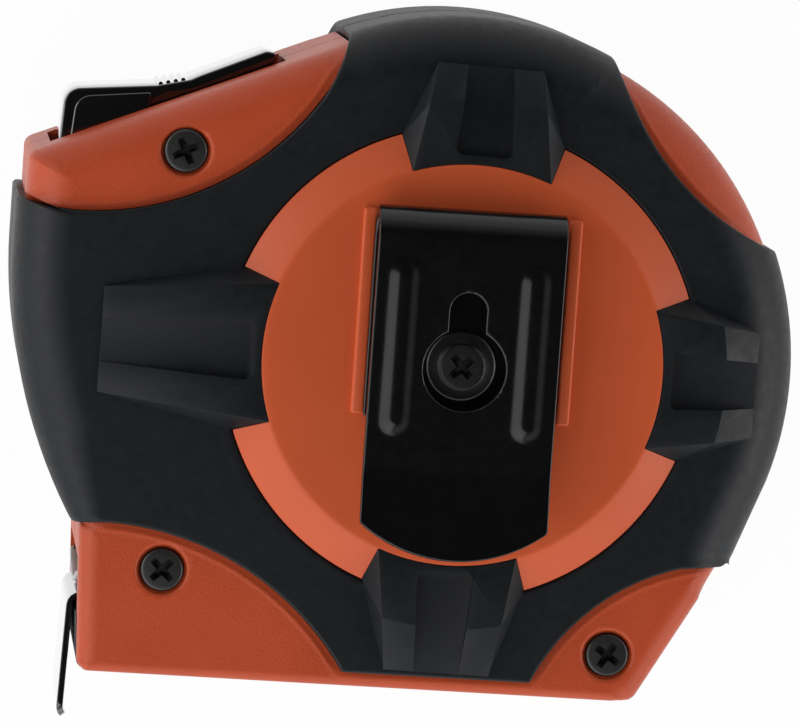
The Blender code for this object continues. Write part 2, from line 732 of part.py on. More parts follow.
def thick_strip(centreline, thickness):
    """Closed outline of a bent strip drawn as its centre line."""
    line = np.array(centreline)
    along = np.gradient(line, axis=0)
    along /= np.linalg.norm(along, axis=1)[:, None]
    side = np.stack((-along[:, 1], along[:, 0]), axis=1) * thickness / 2
    return np.concatenate((line + side, (line - side)[::-1]))


def clip_bead(x):
    """Long rounded bead pressed out of the clip's front leg."""
    top = CLIP_FRONT_MID + CLIP_THICK / 2
    rings = []
    steps = ((1.0, -CLIP_THICK * 0.6), (1.0, BEAD_RISE / 8), (0.7, BEAD_RISE * 0.55), (0.3, BEAD_RISE))
    for width, lift in steps:
        half = BEAD_HALF * width
        ends = [arc((x, BEAD_TOP - BEAD_HALF), half, 0, math.pi, math.radians(36))]
        ends.append(arc((x, BEAD_BOTTOM + BEAD_HALF), half, math.pi, 2 * math.pi, math.radians(36)))
        plan = np.concatenate(ends)
        slope = -CLIP_PINCH * (CLIP_LOOP - plan[:, 1]) / (CLIP_LOOP + CLIP_BEND)
        rings.append(np.column_stack((plan, top + slope + lift)))
    return stack("bead", rings)


def build_belt_clip(paint):
    """Spring-steel belt clip: back leg, loop, front leg and flared tip, bent from one strip."""
    loop = arc((CLIP_LOOP, (CLIP_BACK_MID + CLIP_FRONT_MID) / 2), (CLIP_FRONT_MID - CLIP_BACK_MID) / 2,
               -math.pi / 2, math.pi / 2, math.radians(22))
    neck = CLIP_FRONT_MID - CLIP_PINCH
    line = [(-CLIP_BACK, CLIP_BACK_MID), (0, CLIP_BACK_MID), *loop, (0, CLIP_FRONT_MID - CLIP_PINCH * 0.55)]
    line += [(-CLIP_BEND + 1.5 * MM, neck), (-CLIP_BEND, neck + CLIP_FLARE * 0.03)]
    line += [(-CLIP_BEND - 1.5 * MM, neck + CLIP_FLARE * 0.2), (-CLIP_TIP, neck + CLIP_FLARE)]
    clip = prism("belt_clip", thick_strip(line, CLIP_THICK), -CLIP_HALF, CLIP_HALF, "X")
    spread = math.asin(CLIP_HALF / CLIP_END_ROUND)
    down = -math.pi / 2
    plan = list(arc((0, CLIP_END_ROUND - CLIP_TIP), CLIP_END_ROUND, down - spread, down + spread))
    wide = CLIP_HALF + MM
    plan += [(wide, plan[-1][1]), (wide, FAR), (-wide, FAR), (-wide, plan[0][1])]
    combine(clip, prism("clip_plan", plan, 0, FAR), "INTERSECT")
    for side in (-1, 1):
        join(clip, clip_bead(side * BEAD_OFFSET))
    between = (CLIP_BACK_MID + CLIP_FRONT_MID) / 2
    carve(clip, cylinder("screw_hole", (0, 0), CLIP_SCREW_SHANK + FIT, 0, between))
    carve(clip, cylinder("keyhole", (0, 0), KEYHOLE_RADIUS, between, FAR, 32))
    slot_end = (0, KEYHOLE_TOP - KEYHOLE_SLOT)
    slot = list(arc(slot_end, KEYHOLE_SLOT, 0, math.pi, math.radians(20)))
    slot += [(-KEYHOLE_SLOT, 0), (KEYHOLE_SLOT, 0)]
    carve(clip, prism("keyhole_slot", slot, between, FAR))
    clip.location = (0, 0, MID)
    finish(clip, paint)


def build_clip_screw(paint):
    seat = DISC_FACE + FIT + CLIP_THICK + FIT
    flange = (CLIP_SCREW_FLANGE, CLIP_SCREW_FLANGE_THICK)
    radii = (CLIP_SCREW_SHANK, CLIP_SCREW_HEAD)
    made = phillips_screw("belt_clip_screw", radii, CLIP_SCREW_HEIGHT, CLIP_SCREW_REACH, flange)
    made.location = (0, 0, MID + seat)
    finish(made, paint)


def lever_outline():
    """Side view of the lock about its pivot: raised thumb pad, ridged hollow and rear wing."""
    pad = [(-7.9, 0), (-7.5, 4.5), (-6.8, 5.3), (1.4, 5.3)]
    ridges = [(2.1, 4.95), (2.7, 5.45), (3.3, 5.05), (3.9, 5.65), (4.5, 5.35), (5.1, 6.1), (5.7, 6.0)]
    wing = [(6.6, 6.9), (14.0, 10.3), (15.0, 10.1), (14.8, 9.0), (7.2, 5.2)]
    outline = [np.array(p) * MM for p in pad + ridges + wing]
    hub = arc((0, 0), PIVOT_HUB, math.radians(40), math.radians(-90), math.radians(30))
    outline[0] = np.array((outline[0][0], LEVER_FLOOR))
    return outline + list(hub)


def build_lock(paint, steel):
    joint = carrier("lock_axis", (*PIVOT, MID))
    lever = prism("lock_lever", lever_outline(), -LEVER_HALF, LEVER_HALF)
    carve(lever, cylinder("bore", (0, 0), PIN_RADIUS + FIT, -FAR, FAR))
    finish(lever, paint, joint, math.radians(20))
    reach = LEVER_HALF + LEVER_GAP + PIN_SEAT
    pin = cylinder("lock_pin", (0, 0), PIN_RADIUS, -reach, reach)
    pin.location = (*PIVOT, MID)
    finish(pin, steel)


def build_brake_bar(paint):
    """Push bar from the lock's underside down along the front wall to just above the blade."""
    head = PIVOT[0] - BRAKE_HEAD
    foot, width = brake_route()
    top = PIVOT[1] + LEVER_FLOOR - FIT
    bottom = BLADE_Y + BLADE_THICK / 2 + FIT + BRAKE_TRAVEL
    bend = NOSE_Y + 3 * MM
    left = [(head, top), (head, GUIDE_HEIGHT + BRAKE_TRAVEL), (foot, bend), (foot, bottom)]
    right = [(x + width, y + (0 if y in (top, bottom) else 0.6 * MM)) for x, y in reversed(left)]
    joint = carrier("brake_axis", (head, top, MID))
    bar = prism("brake_bar", left + right, -BRAKE_HALF, BRAKE_HALF)
    bar.data.transform(Matrix.Translation((-head, -top, 0)))
    finish(bar, paint, joint)


def blade_camber(x):
    """Rise of the blade's edges: flat where it meets the roll, cambered at the mouth."""
    share = np.clip((NOSE_X + SIDE_WALL + LIP_DEPTH - x) / (SIDE_WALL + LIP_DEPTH), 0, 1)
    return BLADE_CAMBER * share * share * (3 - 2 * share)


def build_blade(paint):
    """Straight end of the blade, from the roll's tangent point out through the mouth."""
    joint = carrier("blade_axis", (0, BLADE_Y, MID))
    inside = NOSE_X + SIDE_WALL + LIP_DEPTH
    stations = [-RUN, inside / 2, *np.linspace(inside, BLADE_END + 1.5 * MM, 6), BLADE_END]
    across = np.linspace(-1, 1, 9)
    rings = []
    for x in stations:
        half = BLADE_WIDTH / 2 - (2.5 * MM if x == BLADE_END else 0)
        rise = blade_camber(x) * (across * half / (BLADE_WIDTH / 2)) ** 2
        top = [(x, r + BLADE_THICK / 2, a * half) for a, r in zip(across, rise)]
        low = [(x, r - BLADE_THICK / 2, a * half) for a, r in zip(across, rise)]
        rings.append(np.array(top + low[::-1]))
    blade = stack("blade_tongue", rings)
    for side in (-1, 1):
        hole = cylinder("rivet_hole", (0, 0), RIVET_RADIUS + FIT, -FAR, FAR, 12)
        hole.data.transform(Matrix.Rotation(math.radians(90), 4, "X"))
        hole.data.transform(Matrix.Translation((RIVET_X, 0, side * RIVET_OFFSET)))
        carve(blade, hole)
    finish(blade, paint, joint)
    return joint


def build_hook(joint, paint):
    """L-shaped end hook: flat tongue under the blade and a leg that dips below the base."""
    outer = HOOK_FACE - HOOK_THICK
    bend = np.array((outer + HOOK_BEND, HOOK_TOP - HOOK_BEND))
    tip = HOOK_TOP - HOOK_DROP
    curl = [(outer, tip + 0.5 * MM), (outer + 0.25 * MM, tip), (outer + HOOK_THICK + 0.25 * MM, tip)]
    plan = [(HOOK_FACE + HOOK_TONGUE, HOOK_TOP - HOOK_THICK), (HOOK_FACE + HOOK_TONGUE, HOOK_TOP)]
    plan += list(arc(bend, HOOK_BEND, math.pi / 2, math.pi, math.radians(20))) + curl
    plan += [(HOOK_FACE, tip + 0.7 * MM)]
    plan += list(arc(bend, HOOK_BEND - HOOK_THICK, math.pi, math.pi / 2, math.radians(30)))
    hook = prism("end_hook", plan, -HOOK_HALF, HOOK_HALF)
    for side in (-1, 1):
        span = sorted((side * HOOK_TONGUE_HALF, side * (HOOK_HALF + MM)))
        carve(hook, block("shoulder", (HOOK_FACE + HOOK_BEND, FAR), (HOOK_TOP - 2 * HOOK_THICK, FAR), span))
        up = math.pi / 2
        near = arc((RIVET_X, side * RIVET_OFFSET), RIVET_RADIUS + FIT, up, 3 * up, math.radians(30))
        slot = prism("slot", [*near, *(near[::-1] * (-1, 1) + (2 * RIVET_X + HOOK_FLOAT, 0))], -FAR, FAR)
        slot.data.transform(Matrix.Rotation(math.radians(90), 4, "X"))
        carve(hook, slot)
    hook.data.transform(Matrix.Translation((-HOOK_FACE, -HOOK_TOP, 0)))
    slide = carrier("hook_axis", (HOOK_FACE, HOOK_TOP - BLADE_Y, 0))
    slide.parent = joint
    finish(hook, paint, slide)


def build_rivets(joint, paint):
    grip = BLADE_THICK / 2 + FIT
    below = grip + HOOK_THICK + FIT
    rise = float(blade_camber(RIVET_X)) * ((RIVET_OFFSET + RIVET_HEAD) / (BLADE_WIDTH / 2)) ** 2
    profile = [(RIVET_HEAD * 0.8, -below - RIVET_HEAD_THICK)]
    over = grip + rise
    profile += [(RIVET_HEAD, -below), (RIVET_RADIUS, -below), (RIVET_RADIUS, over), (RIVET_HEAD, over)]
    profile.append((RIVET_HEAD * 0.7, over + RIVET_HEAD_THICK))
    for side, name in ((-1, "hook_rivet_label_side"), (1, "hook_rivet_clip_side")):
        rivet = turned(name, profile, 12)
        rivet.data.transform(Matrix.Rotation(math.radians(-90), 4, "X"))
        rivet.location = (RIVET_X, 0, side * RIVET_OFFSET)
        finish(rivet, paint, joint)


def spiral(name, inner, outer, turns, tape, half, start, steps):
    """Flat tape wound in a spiral from the inner radius to the outer one, ending at the start angle."""
    count = turns * steps
    rings = []
    for i in range(count + 1):
        radius = outer - (outer - inner) * i / count
        spoke = turn(start + 2 * math.pi * i / steps)
        near, far = spoke * (radius - tape / 2), spoke * (radius + tape / 2)
        rings.append(np.array([(*near, -half), (*far, -half), (*far, half), (*near, half)]))
    gaps = [np.linalg.norm(rings[i][0] - rings[i + steps][1]) for i in range(count + 1 - steps)]
    print(name, "least gap between turns", round(min(gaps) / MM, 3), "mm")
    points = [p for ring in rings for p in ring]
    faces = [(0, 1, 2, 3), tuple(4 * count + k for k in range(4))]
    for i in range(count):
        for k in range(4):
            faces.append((4 * i + k, 4 * i + (k + 1) % 4, 4 * i + 4 + (k + 1) % 4, 4 * i + 4 + k))
    return mesh_object(name, points, faces)


def flange_windows(piece, low, high):
    """Round windows that lighten a reel flange, as moulded reels have."""
    ring = (ARBOR_RADIUS + DRUM_RADIUS - DRUM_WALL) / 2
    for i in range(REEL_WINDOWS):
        centre = ring * turn(2 * math.pi * i / REEL_WINDOWS)
        carve(piece, cylinder("window", centre, REEL_WINDOW_RADIUS, low - MM, high + MM, 14))


def build_reel(paints):
    """Drum, cover, wound blade and recoil spring, all turning about the arbor."""
    joint = carrier("reel_axis", (0, 0, MID))
    bore = ARBOR_RADIUS + RUN
    wall = DRUM_RADIUS - DRUM_WALL
    rim = FLANGE_INNER - FIT
    profile = [(bore, -FLANGE_OUTER), (FLANGE_RADIUS, -FLANGE_OUTER), (FLANGE_RADIUS, -FLANGE_INNER)]
    profile += [(DRUM_RADIUS, -FLANGE_INNER), (DRUM_RADIUS, rim), (wall, rim)]
    profile += [(wall, -FLANGE_INNER), (bore, -FLANGE_INNER)]
    drum = turned("reel_drum", profile, ROUND_STEPS, True)
    flange_windows(drum, -FLANGE_OUTER, -FLANGE_INNER)
    finish(drum, paints["reel"], joint)
    lip = wall - FIT
    step = lip - DRUM_WALL
    profile = [(bore, FLANGE_INNER), (step, FLANGE_INNER), (step, FLANGE_INNER - DRUM_WALL)]
    profile += [(lip, FLANGE_INNER - DRUM_WALL), (lip, FLANGE_INNER), (FLANGE_RADIUS, FLANGE_INNER)]
    profile += [(FLANGE_RADIUS, FLANGE_OUTER), (bore, FLANGE_OUTER)]
    cover = turned("reel_cover", profile, ROUND_STEPS, True)
    flange_windows(cover, FLANGE_INNER, FLANGE_OUTER)
    finish(cover, paints["reel"], joint)
    first = DRUM_RADIUS + FIT + ROLL_TAPE / 2
    last = ROLL_RADIUS - ROLL_TAPE / 2
    roll = spiral("blade_roll", first, last, ROLL_TURNS, ROLL_TAPE, BLADE_WIDTH / 2, -math.pi / 2, 28)
    finish(roll, paints["blade"], joint)
    first = ARBOR_RADIUS + RUN + SPRING_TAPE / 2
    last = wall - FIT - SPRING_TAPE / 2
    half = FLANGE_INNER - DRUM_WALL - SPRING_MARGIN / 4
    spring = spiral("recoil_spring", first, last, SPRING_TURNS, SPRING_TAPE, half, math.pi / 2, 20)
    finish(spring, paints["spring"], joint)


def build_arbor(paint):
    """Fixed post through the reel, tapped for the belt clip's screw."""
    end = ARBOR_END
    bore = CLIP_SCREW_SHANK + FIT
    depth = CLIP_SCREW_REACH - (FIT + CLIP_THICK + FIT) - (DISC_FACE - end) + RUN
    profile = [(ARBOR_RADIUS, -end), (ARBOR_RADIUS, end), (bore, end), (bore, end - depth)]
    arbor = turned("spring_arbor", profile, 32)
    arbor.location = (0, 0, MID)
    finish(arbor, paint)


def peg_height():
    return (BASE_Y + MOUTH_FLOOR) / 2


def build_bumper(paint):
    """Soft strip on the nose under the mouth that the hook snaps back against, held by two pegs."""
    back = BUMPER_SEAT - FIT
    low, high = BASE_Y + CORNER_ROUND / 2, MOUTH_FLOOR - FIT
    plan = [(back, low), (back, high), (back - BUMPER_THICK, high - FIT), (back - BUMPER_THICK, low + FIT)]
    bumper = prism("nose_bumper", plan, -BUMPER_HALF, BUMPER_HALF)
    for side in (-1, 1):
        peg = cylinder("peg", (0, 0), BUMPER_PEG, -BUMPER_THICK / 2, SIDE_WALL, 12)
        peg.data.transform(Matrix.Rotation(math.radians(90), 4, "Y"))
        peg.data.transform(Matrix.Translation((back, peg_height(), side * BUMPER_PEG_OFFSET)))
        join(bumper, peg)
    bumper.location = (0, 0, MID)
    finish(bumper, paint)


def build():
    for old in list(bpy.data.objects):
        bpy.data.objects.remove(old, do_unlink=True)
    orange = material("orange_abs", (0.42, 0.075, 0.025), 0.45)
    rubber = material("black_rubber", (0.012, 0.013, 0.014), 0.75)
    painted = material("black_painted_steel", (0.008, 0.008, 0.009), 0.35)
    gloss = material("black_gloss_plastic", (0.006, 0.006, 0.006), 0.2)
    steel = material("plain_steel", (0.55, 0.55, 0.56), 0.3, 1.0)
    screw = material("black_screw", (0.015, 0.015, 0.016), 0.4, 0.6)
    paints = {
        "reel": material("grey_reel", (0.25, 0.25, 0.26), 0.5),
        "blade": material("blade_coat", (0.75, 0.62, 0.08), 0.4),
        "spring": material("spring_steel", (0.3, 0.3, 0.32), 0.35, 1.0),
    }
    for side in (1, -1):
        build_shell(side, orange)
        build_grip(side, rubber)
    build_case_screws(screw)
    build_belt_clip(painted)
    build_clip_screw(screw)
    build_lock(gloss, steel)
    build_brake_bar(gloss)
    slide = build_blade(paints["blade"])
    build_hook(slide, painted)
    build_rivets(slide, steel)
    build_reel(paints)
    build_arbor(steel)
    build_bumper(rubber)


build()
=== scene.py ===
import math

import bmesh
import bpy
import numpy as np
from mathutils import Matrix, Vector
from mathutils.geometry import delaunay_2d_cdt


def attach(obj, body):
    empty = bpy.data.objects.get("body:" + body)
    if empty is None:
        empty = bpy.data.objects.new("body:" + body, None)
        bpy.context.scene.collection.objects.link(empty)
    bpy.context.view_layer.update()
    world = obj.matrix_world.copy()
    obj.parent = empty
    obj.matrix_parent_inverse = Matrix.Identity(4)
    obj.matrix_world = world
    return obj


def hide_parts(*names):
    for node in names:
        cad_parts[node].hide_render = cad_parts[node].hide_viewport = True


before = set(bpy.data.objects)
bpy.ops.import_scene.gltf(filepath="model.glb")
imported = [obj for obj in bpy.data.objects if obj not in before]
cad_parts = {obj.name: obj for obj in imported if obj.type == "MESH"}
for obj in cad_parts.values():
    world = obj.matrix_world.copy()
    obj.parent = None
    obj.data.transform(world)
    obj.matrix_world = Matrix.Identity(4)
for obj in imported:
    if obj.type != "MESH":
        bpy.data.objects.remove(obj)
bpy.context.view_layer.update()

MM = 0.001


def turn(angle):
    """Unit step in the direction of an angle."""
    return np.array((math.cos(angle), math.sin(angle)))



# Layers of one case half, as heights over the parting plane
CAVITY = 14.3 * MM
BED_FACE = 16.2 * MM
PANEL_FACE = 17.2 * MM
GRIP_FACE = 18.25 * MM
DISC_CEILING = 18.2 * MM
DISC_FACE = 20.5 * MM
MID = DISC_FACE
GRIP_BED = PANEL_FACE - BED_FACE
GRIP_PROUD = GRIP_FACE - PANEL_FACE - 0.04 * MM
SIDE_WALL = 2.6 * MM
SEAM = 0.15 * MM
GAP = 0.04 * MM

# Disc, sloping ring and their rounded edges
DISC_RADIUS = 21.5 * MM
RING_RADIUS = 25.4 * MM
DISC_WALL = 2.3 * MM
DISC_ROUND = 0.3 * MM
CLIP_HOLE = 2.05 * MM

# Case outline at the parting line
CASE_RADIUS = 35.5 * MM
BASE_Y = -35.7 * MM
FRONT_X = -47.35 * MM
FRONT_CREST = 8.8 * MM
NOSE_X = -39.5 * MM
NOSE_Y = -19.8 * MM
NOSE_STEP = 0.36 * MM
NOSE_LEDGE = 0.3 * MM
NOSE_LEAN = 0.7 * MM
BASE_REAR = 21.4 * MM
SLANT_RISE = 0.7 * MM
SLANT_TURN = math.radians(-32.2)
REAR_JOIN = math.radians(-18)
TOP_JOIN = math.radians(66)
SLOPE = math.radians(22.6)
SLOPE_REACH = 36.0 * MM
CORNER_ROUND = 1.3 * MM
SLANT_ROUND = 3.0 * MM
SLOPE_NORMAL = np.array((-math.sin(SLOPE), math.cos(SLOPE)))
NOSE_TOP = np.array((FRONT_X, (SLOPE_REACH + FRONT_X * math.sin(SLOPE)) / math.cos(SLOPE)))

# Shoulder widths along that outline, and the shoulders' height over their width
SHOULDER_REAR = 5.5 * MM
SHOULDER_TOP = 5.0 * MM
SHOULDER_SLOPE = 4.2 * MM
SHOULDER_FRONT = 5.0 * MM
SHOULDER_NOSE = 2.2 * MM
SHOULDER_BASE = 1.2 * MM
SHOULDER_SLANT = 2.6 * MM
SHOULDER_RISE = 1.2
NOSE_BLEND = 6

# Round cut-outs of the grip (direction, band left outside the ring, radius) and the strip at the base
GRIP_CUTOUTS = (
    (math.radians(133.6), 5.1 * MM, 30.0 * MM),
    (math.radians(44.1), 5.1 * MM, 36.2 * MM),
    (math.radians(-126.0), 6.1 * MM, 32.1 * MM),
    (math.radians(-54.1), 4.7 * MM, 23.8 * MM),
)
BASE_EDGE = BASE_Y + 1.7 * MM
GRIP_ROUND = 0.35 * MM
PANEL_EDGE = 0.8 * MM
PANEL_EDGE_SOFT = 0.13 * MM
PANEL_EDGE_SLOPE = 0.1
PANEL_LIP = 0.08 * MM
PANEL_LIP_WIDTH = 0.28 * MM

# Grip pads: direction and reach past the ring
PADS = (
    (math.radians(-0.7), 6.4 * MM),
    (math.radians(88.2), 6.5 * MM),
    (math.radians(179.5), 13.2 * MM),
    (math.radians(269.3), 8.0 * MM),
)
PAD_SPREAD = math.radians(20.2)
PAD_END_HALF = 5.65 * MM
PAD_END_STEP = 0.3 * MM
PAD_FLAT = 2.9 * MM
PAD_ROUND = 0.16 * MM
RECESS_INNER_HALF = 3.1 * MM
RECESS_OUTER_HALF = 2.3 * MM
RECESS_START = 0.9 * MM
RECESS_DEPTH = 1.1 * MM
RECESS_ROUND = 0.8 * MM

# Screws
PIVOT = np.array((-36.196, 21.111)) * MM
SCREW_PLACES = {
    "case_screw_nose_top": PIVOT + np.array((5.4, -0.34)) * MM,
    "case_screw_nose_base": 38.85 * MM * turn(math.radians(-141.5)),
    "case_screw_rear_base": 35.55 * MM * turn(math.radians(-59.4)),
}
SCREW_TURNS = {
    "case_screw_nose_top": math.radians(27),
    "case_screw_nose_base": math.radians(45),
    "case_screw_rear_base": math.radians(57),
}
SCREW_WELL = 2.6 * MM
SCREW_SINK = 1.9 * MM
WELL_THROAT = 2.38 * MM
WELL_ROUND = 0.45 * MM
CASE_SCREW = (2.3 * MM, 1.2 * MM, 1.6 * MM)
CASE_SCREW_LIFT = 0.3 * MM
CASE_SCREW_REACH = 9 * MM
CLIP_SCREW = (2.45 * MM, 1.75 * MM, 1.9 * MM, 11 * MM, math.radians(42), (3.7 * MM, 0.7 * MM))
CLIP_SCREW_SEAT = 22.1 * MM

# Shares of a screw head's radius and height: its rounding, and the cross recess
HEAD_DRAW = 0.16
HEAD_SIDE = 0.78
HEAD_ROUND = 0.2
CROSS_REACH = 0.66
CROSS_HALF = 0.15
CROSS_DEPTH = 0.8
CROSS_WAIST = 1.25
CROSS_TAPER = 0.5

# Lock opening and its bearings, mouth and bumper seat
LEVER_HALF = 7.0 * MM
SLOT_HALF = 7.5 * MM
SLOT_DEPTH = 3.4 * MM
SLOT_X = (-45.0 * MM, -20.2 * MM)
PIN_RADIUS = 1.3 * MM
PIN_REACH = 3.8 * MM
BEARING_X = np.array((-2.6, 2.6)) * MM
BEARING_Y = np.array((-2.6, 1.04)) * MM
BEARING_DEPTH = 4.5 * MM
MOUTH_FLOOR = -30.1 * MM
MOUTH_TOP = -23.8 * MM
MOUTH_HALF = 13.2 * MM
MOUTH_DEPTH = 5.2 * MM
BUMPER_SEAT = -38.1 * MM
BUMPER_HALF = 14.1 * MM
BUMPER_FRONT = -39.2 * MM
BUMPER_TOP = -29.9 * MM
BUMPER_EDGE = 0.12 * MM
FAR = 60 * MM
BELOW = -2 * MM

# Ribs beside the clip's back leg
RIB_SPAN = (10.3 * MM, 11.7 * MM)
RIB_Y = (-5.7 * MM, 16.3 * MM)
RIB_RISE = 0.8 * MM
RIB_EDGE = 0.3 * MM

# Columns of the skin: their spacing, and the samples along them

COLUMN_STEP = math.radians(0.5)
BORDER_STEPS = np.array((0, 0.05, 0.2, 0.4, 0.6, 0.75, 0.85, 0.95, 1.05, 1.2, 1.4)) * MM
SHOULDER_STEPS = 24
FINE_TURN = 0.0004
SHORT_STRETCH = 4 * MM
LEAN_LIMIT = 0.65


def arc(centre, radius, start, end, step=math.radians(2)):
    count = max(2, math.ceil(abs(end - start) / step))
    return np.array([np.asarray(centre) + radius * turn(a) for a in np.linspace(start, end, count + 1)])


def fillet(before, corner, after, radius, step=math.radians(9)):
    """Round off one corner of a chain: the arc's points, from the first side to the second."""
    one = (before - corner) / np.linalg.norm(before - corner)
    two = (after - corner) / np.linalg.norm(after - corner)
    half = math.acos(float(one @ two)) / 2
    middle = (one + two) / np.linalg.norm(one + two)
    centre = corner + middle * radius / math.sin(half)
    start = corner + one * radius / math.tan(half) - centre
    end = corner + two * radius / math.tan(half) - centre
    first = math.atan2(start[1], start[0])
    sweep = (math.atan2(end[1], end[0]) - first + math.pi) % (2 * math.pi) - math.pi
    return arc(centre, radius, first, first + sweep, step)


def rounded(corners, radii):
    """Closed outline through corners, each rounded by its radius."""
    points = []
    for i, radius in enumerate(radii):
        before, after = corners[i - 1], corners[(i + 1) % len(corners)]
        if radius:
            points += list(fillet(before, corners[i], after, radius))
        else:
            points.append(corners[i])
    return np.array(points)


def chain(points, radii, shoulders):
    """Lines through the points with rounded corners between, as stretches with their shoulder widths."""
    stretches = []
    start = points[0]
    for i, radius in enumerate(radii):
        bend = fillet(points[i], points[i + 1], points[i + 2], radius)
        stretches.append((np.array((start, bend[0])), shoulders[i]))
        stretches.append((bend, shoulders[i + 1]))
        start = bend[-1]
    stretches.append((np.array((start, points[-1])), shoulders[-1]))
    return stretches


def case_stretches():
    """The case outline at the parting line, counter-clockwise from the rear: arcs and lines."""
    join = CASE_RADIUS * turn(TOP_JOIN)
    reach = join @ SLOPE_NORMAL
    square = CASE_RADIUS**2 - 2 * SLOPE_REACH * reach + SLOPE_REACH**2
    top_radius = square / (2 * (SLOPE_REACH - reach))
    top_centre = SLOPE_NORMAL * (SLOPE_REACH - top_radius)
    top_start = math.atan2(*(join - top_centre)[::-1])
    top = arc(top_centre, top_radius, top_start, math.pi / 2 + SLOPE)
    drop, sag = FRONT_CREST - NOSE_Y, NOSE_X + NOSE_STEP - FRONT_X
    bend = (drop**2 + sag**2) / (2 * sag)
    front = arc((FRONT_X + bend, FRONT_CREST), bend, math.pi, math.pi + math.asin(drop / bend))
    rear = arc((0, 0), CASE_RADIUS, REAR_JOIN, TOP_JOIN)
    corners = [
        front[-1],
        np.array((NOSE_X, NOSE_Y - NOSE_LEDGE)),
        np.array((NOSE_X + NOSE_LEAN, BASE_Y)),
        np.array((BASE_REAR, BASE_Y)),
        (CASE_RADIUS + SLANT_RISE) * turn(SLANT_TURN),
        rear[0],
    ]
    rounds = [CORNER_ROUND / 2, CORNER_ROUND, CORNER_ROUND, SLANT_ROUND]
    widths = [SHOULDER_NOSE, SHOULDER_NOSE, SHOULDER_BASE, SHOULDER_SLANT, SHOULDER_REAR]
    stretches = [(rear, SHOULDER_REAR), (top, SHOULDER_TOP)]
    stretches += chain([top[-1], NOSE_TOP, front[0]], [CORNER_ROUND], [SHOULDER_SLOPE, SHOULDER_FRONT])
    stretches.append((front[:-NOSE_BLEND], SHOULDER_FRONT))
    widths_down = np.linspace(SHOULDER_FRONT, SHOULDER_NOSE, NOSE_BLEND + 1)[1:]
    stretches += [(front[k - NOSE_BLEND - 1:][:2], w) for k, w in enumerate(widths_down)]
    stretches += chain(corners, rounds, widths)
    return stretches


class Outline:
    """The case outline read along rays from the reel's axis."""

    def __init__(self, stretches):
        self.starts = np.concatenate([p[:-1] for p, _ in stretches])
        self.across = np.concatenate([p[1:] - p[:-1] for p, _ in stretches])
        self.shoulders = np.concatenate([np.full(len(p) - 1, w) for p, w in stretches])
        self.corners = [p for points, _ in stretches for p in points[[0, -1]]]
        short = [points for points, _ in stretches if np.ptp(points, axis=0).max() < SHORT_STRETCH]
        self.corners += [p for points in short for p in points]

    def reach(self, rays):
        """Distance from the axis to the outline along each ray."""
        a, b = self.starts, self.across
        cross = rays[:, :1] * b[:, 1] - rays[:, 1:] * b[:, 0]
        cross = np.where(np.abs(cross) < 1e-12, np.nan, cross)
        along = (a[:, 0] * b[:, 1] - a[:, 1] * b[:, 0]) / cross
        share = (a[:, 0] * rays[:, 1:] - a[:, 1] * rays[:, :1]) / cross
        hit = (share > -1e-6) & (share < 1 + 1e-6)
        return np.nanmax(np.where(hit, along, 0), axis=1)

    def depth(self, places, scaled):
        """How far inside the outline each place lies, in metres or in shoulder widths."""
        away = places[:, None, :] - self.starts
        share = (away * self.across).sum(axis=2) / (self.across**2).sum(axis=1)
        away = away - np.clip(share, 0, 1)[:, :, None] * self.across
        distance = np.linalg.norm(away, axis=2)
        return (distance / self.shoulders if scaled else distance).min(axis=1)

    def inset(self, rays, level, scaled):
        """Distance from the axis, along each ray, of the line that lies level deep inside the outline."""
        low, high = np.zeros(len(rays)), self.reach(rays)
        for _ in range(24):
            middle = (low + high) / 2
            inside = self.depth(rays * middle[:, None], scaled) > level
            low = np.where(inside, middle, low)
            high = np.where(inside, high, middle)
        return low


def column_angles(outline):
    """Directions of the rays: even steps, the outline's corners and both sides of each pad's notch."""
    keys = [math.atan2(y, x) % (2 * math.pi) for x, y in outline.corners]
    for angle, _ in PADS:
        for side in (-1, 1):
            edge = angle + side * PAD_SPREAD
            keys += [(edge - FINE_TURN) % (2 * math.pi), (edge + FINE_TURN) % (2 * math.pi)]
    fine = np.arange(0, 2 * math.pi, FINE_TURN)
    past = border(fine)[0] > outline.reach(np.stack((np.cos(fine), np.sin(fine)), axis=1))
    crossings = fine[np.flatnonzero(past != np.roll(past, 1))]
    keys += [*crossings, *(crossings - 2 * FINE_TURN)]
    kept = []
    for key in sorted(keys):
        if not kept or key - kept[-1] > 1.5 * FINE_TURN:
            kept.append(key)
    spaced = np.arange(0, 2 * math.pi, COLUMN_STEP)
    away = np.abs((spaced[:, None] - np.array(kept) + math.pi) % (2 * math.pi) - math.pi).min(axis=1)
    return np.array(sorted(kept + list(spaced[away > COLUMN_STEP / 3])))


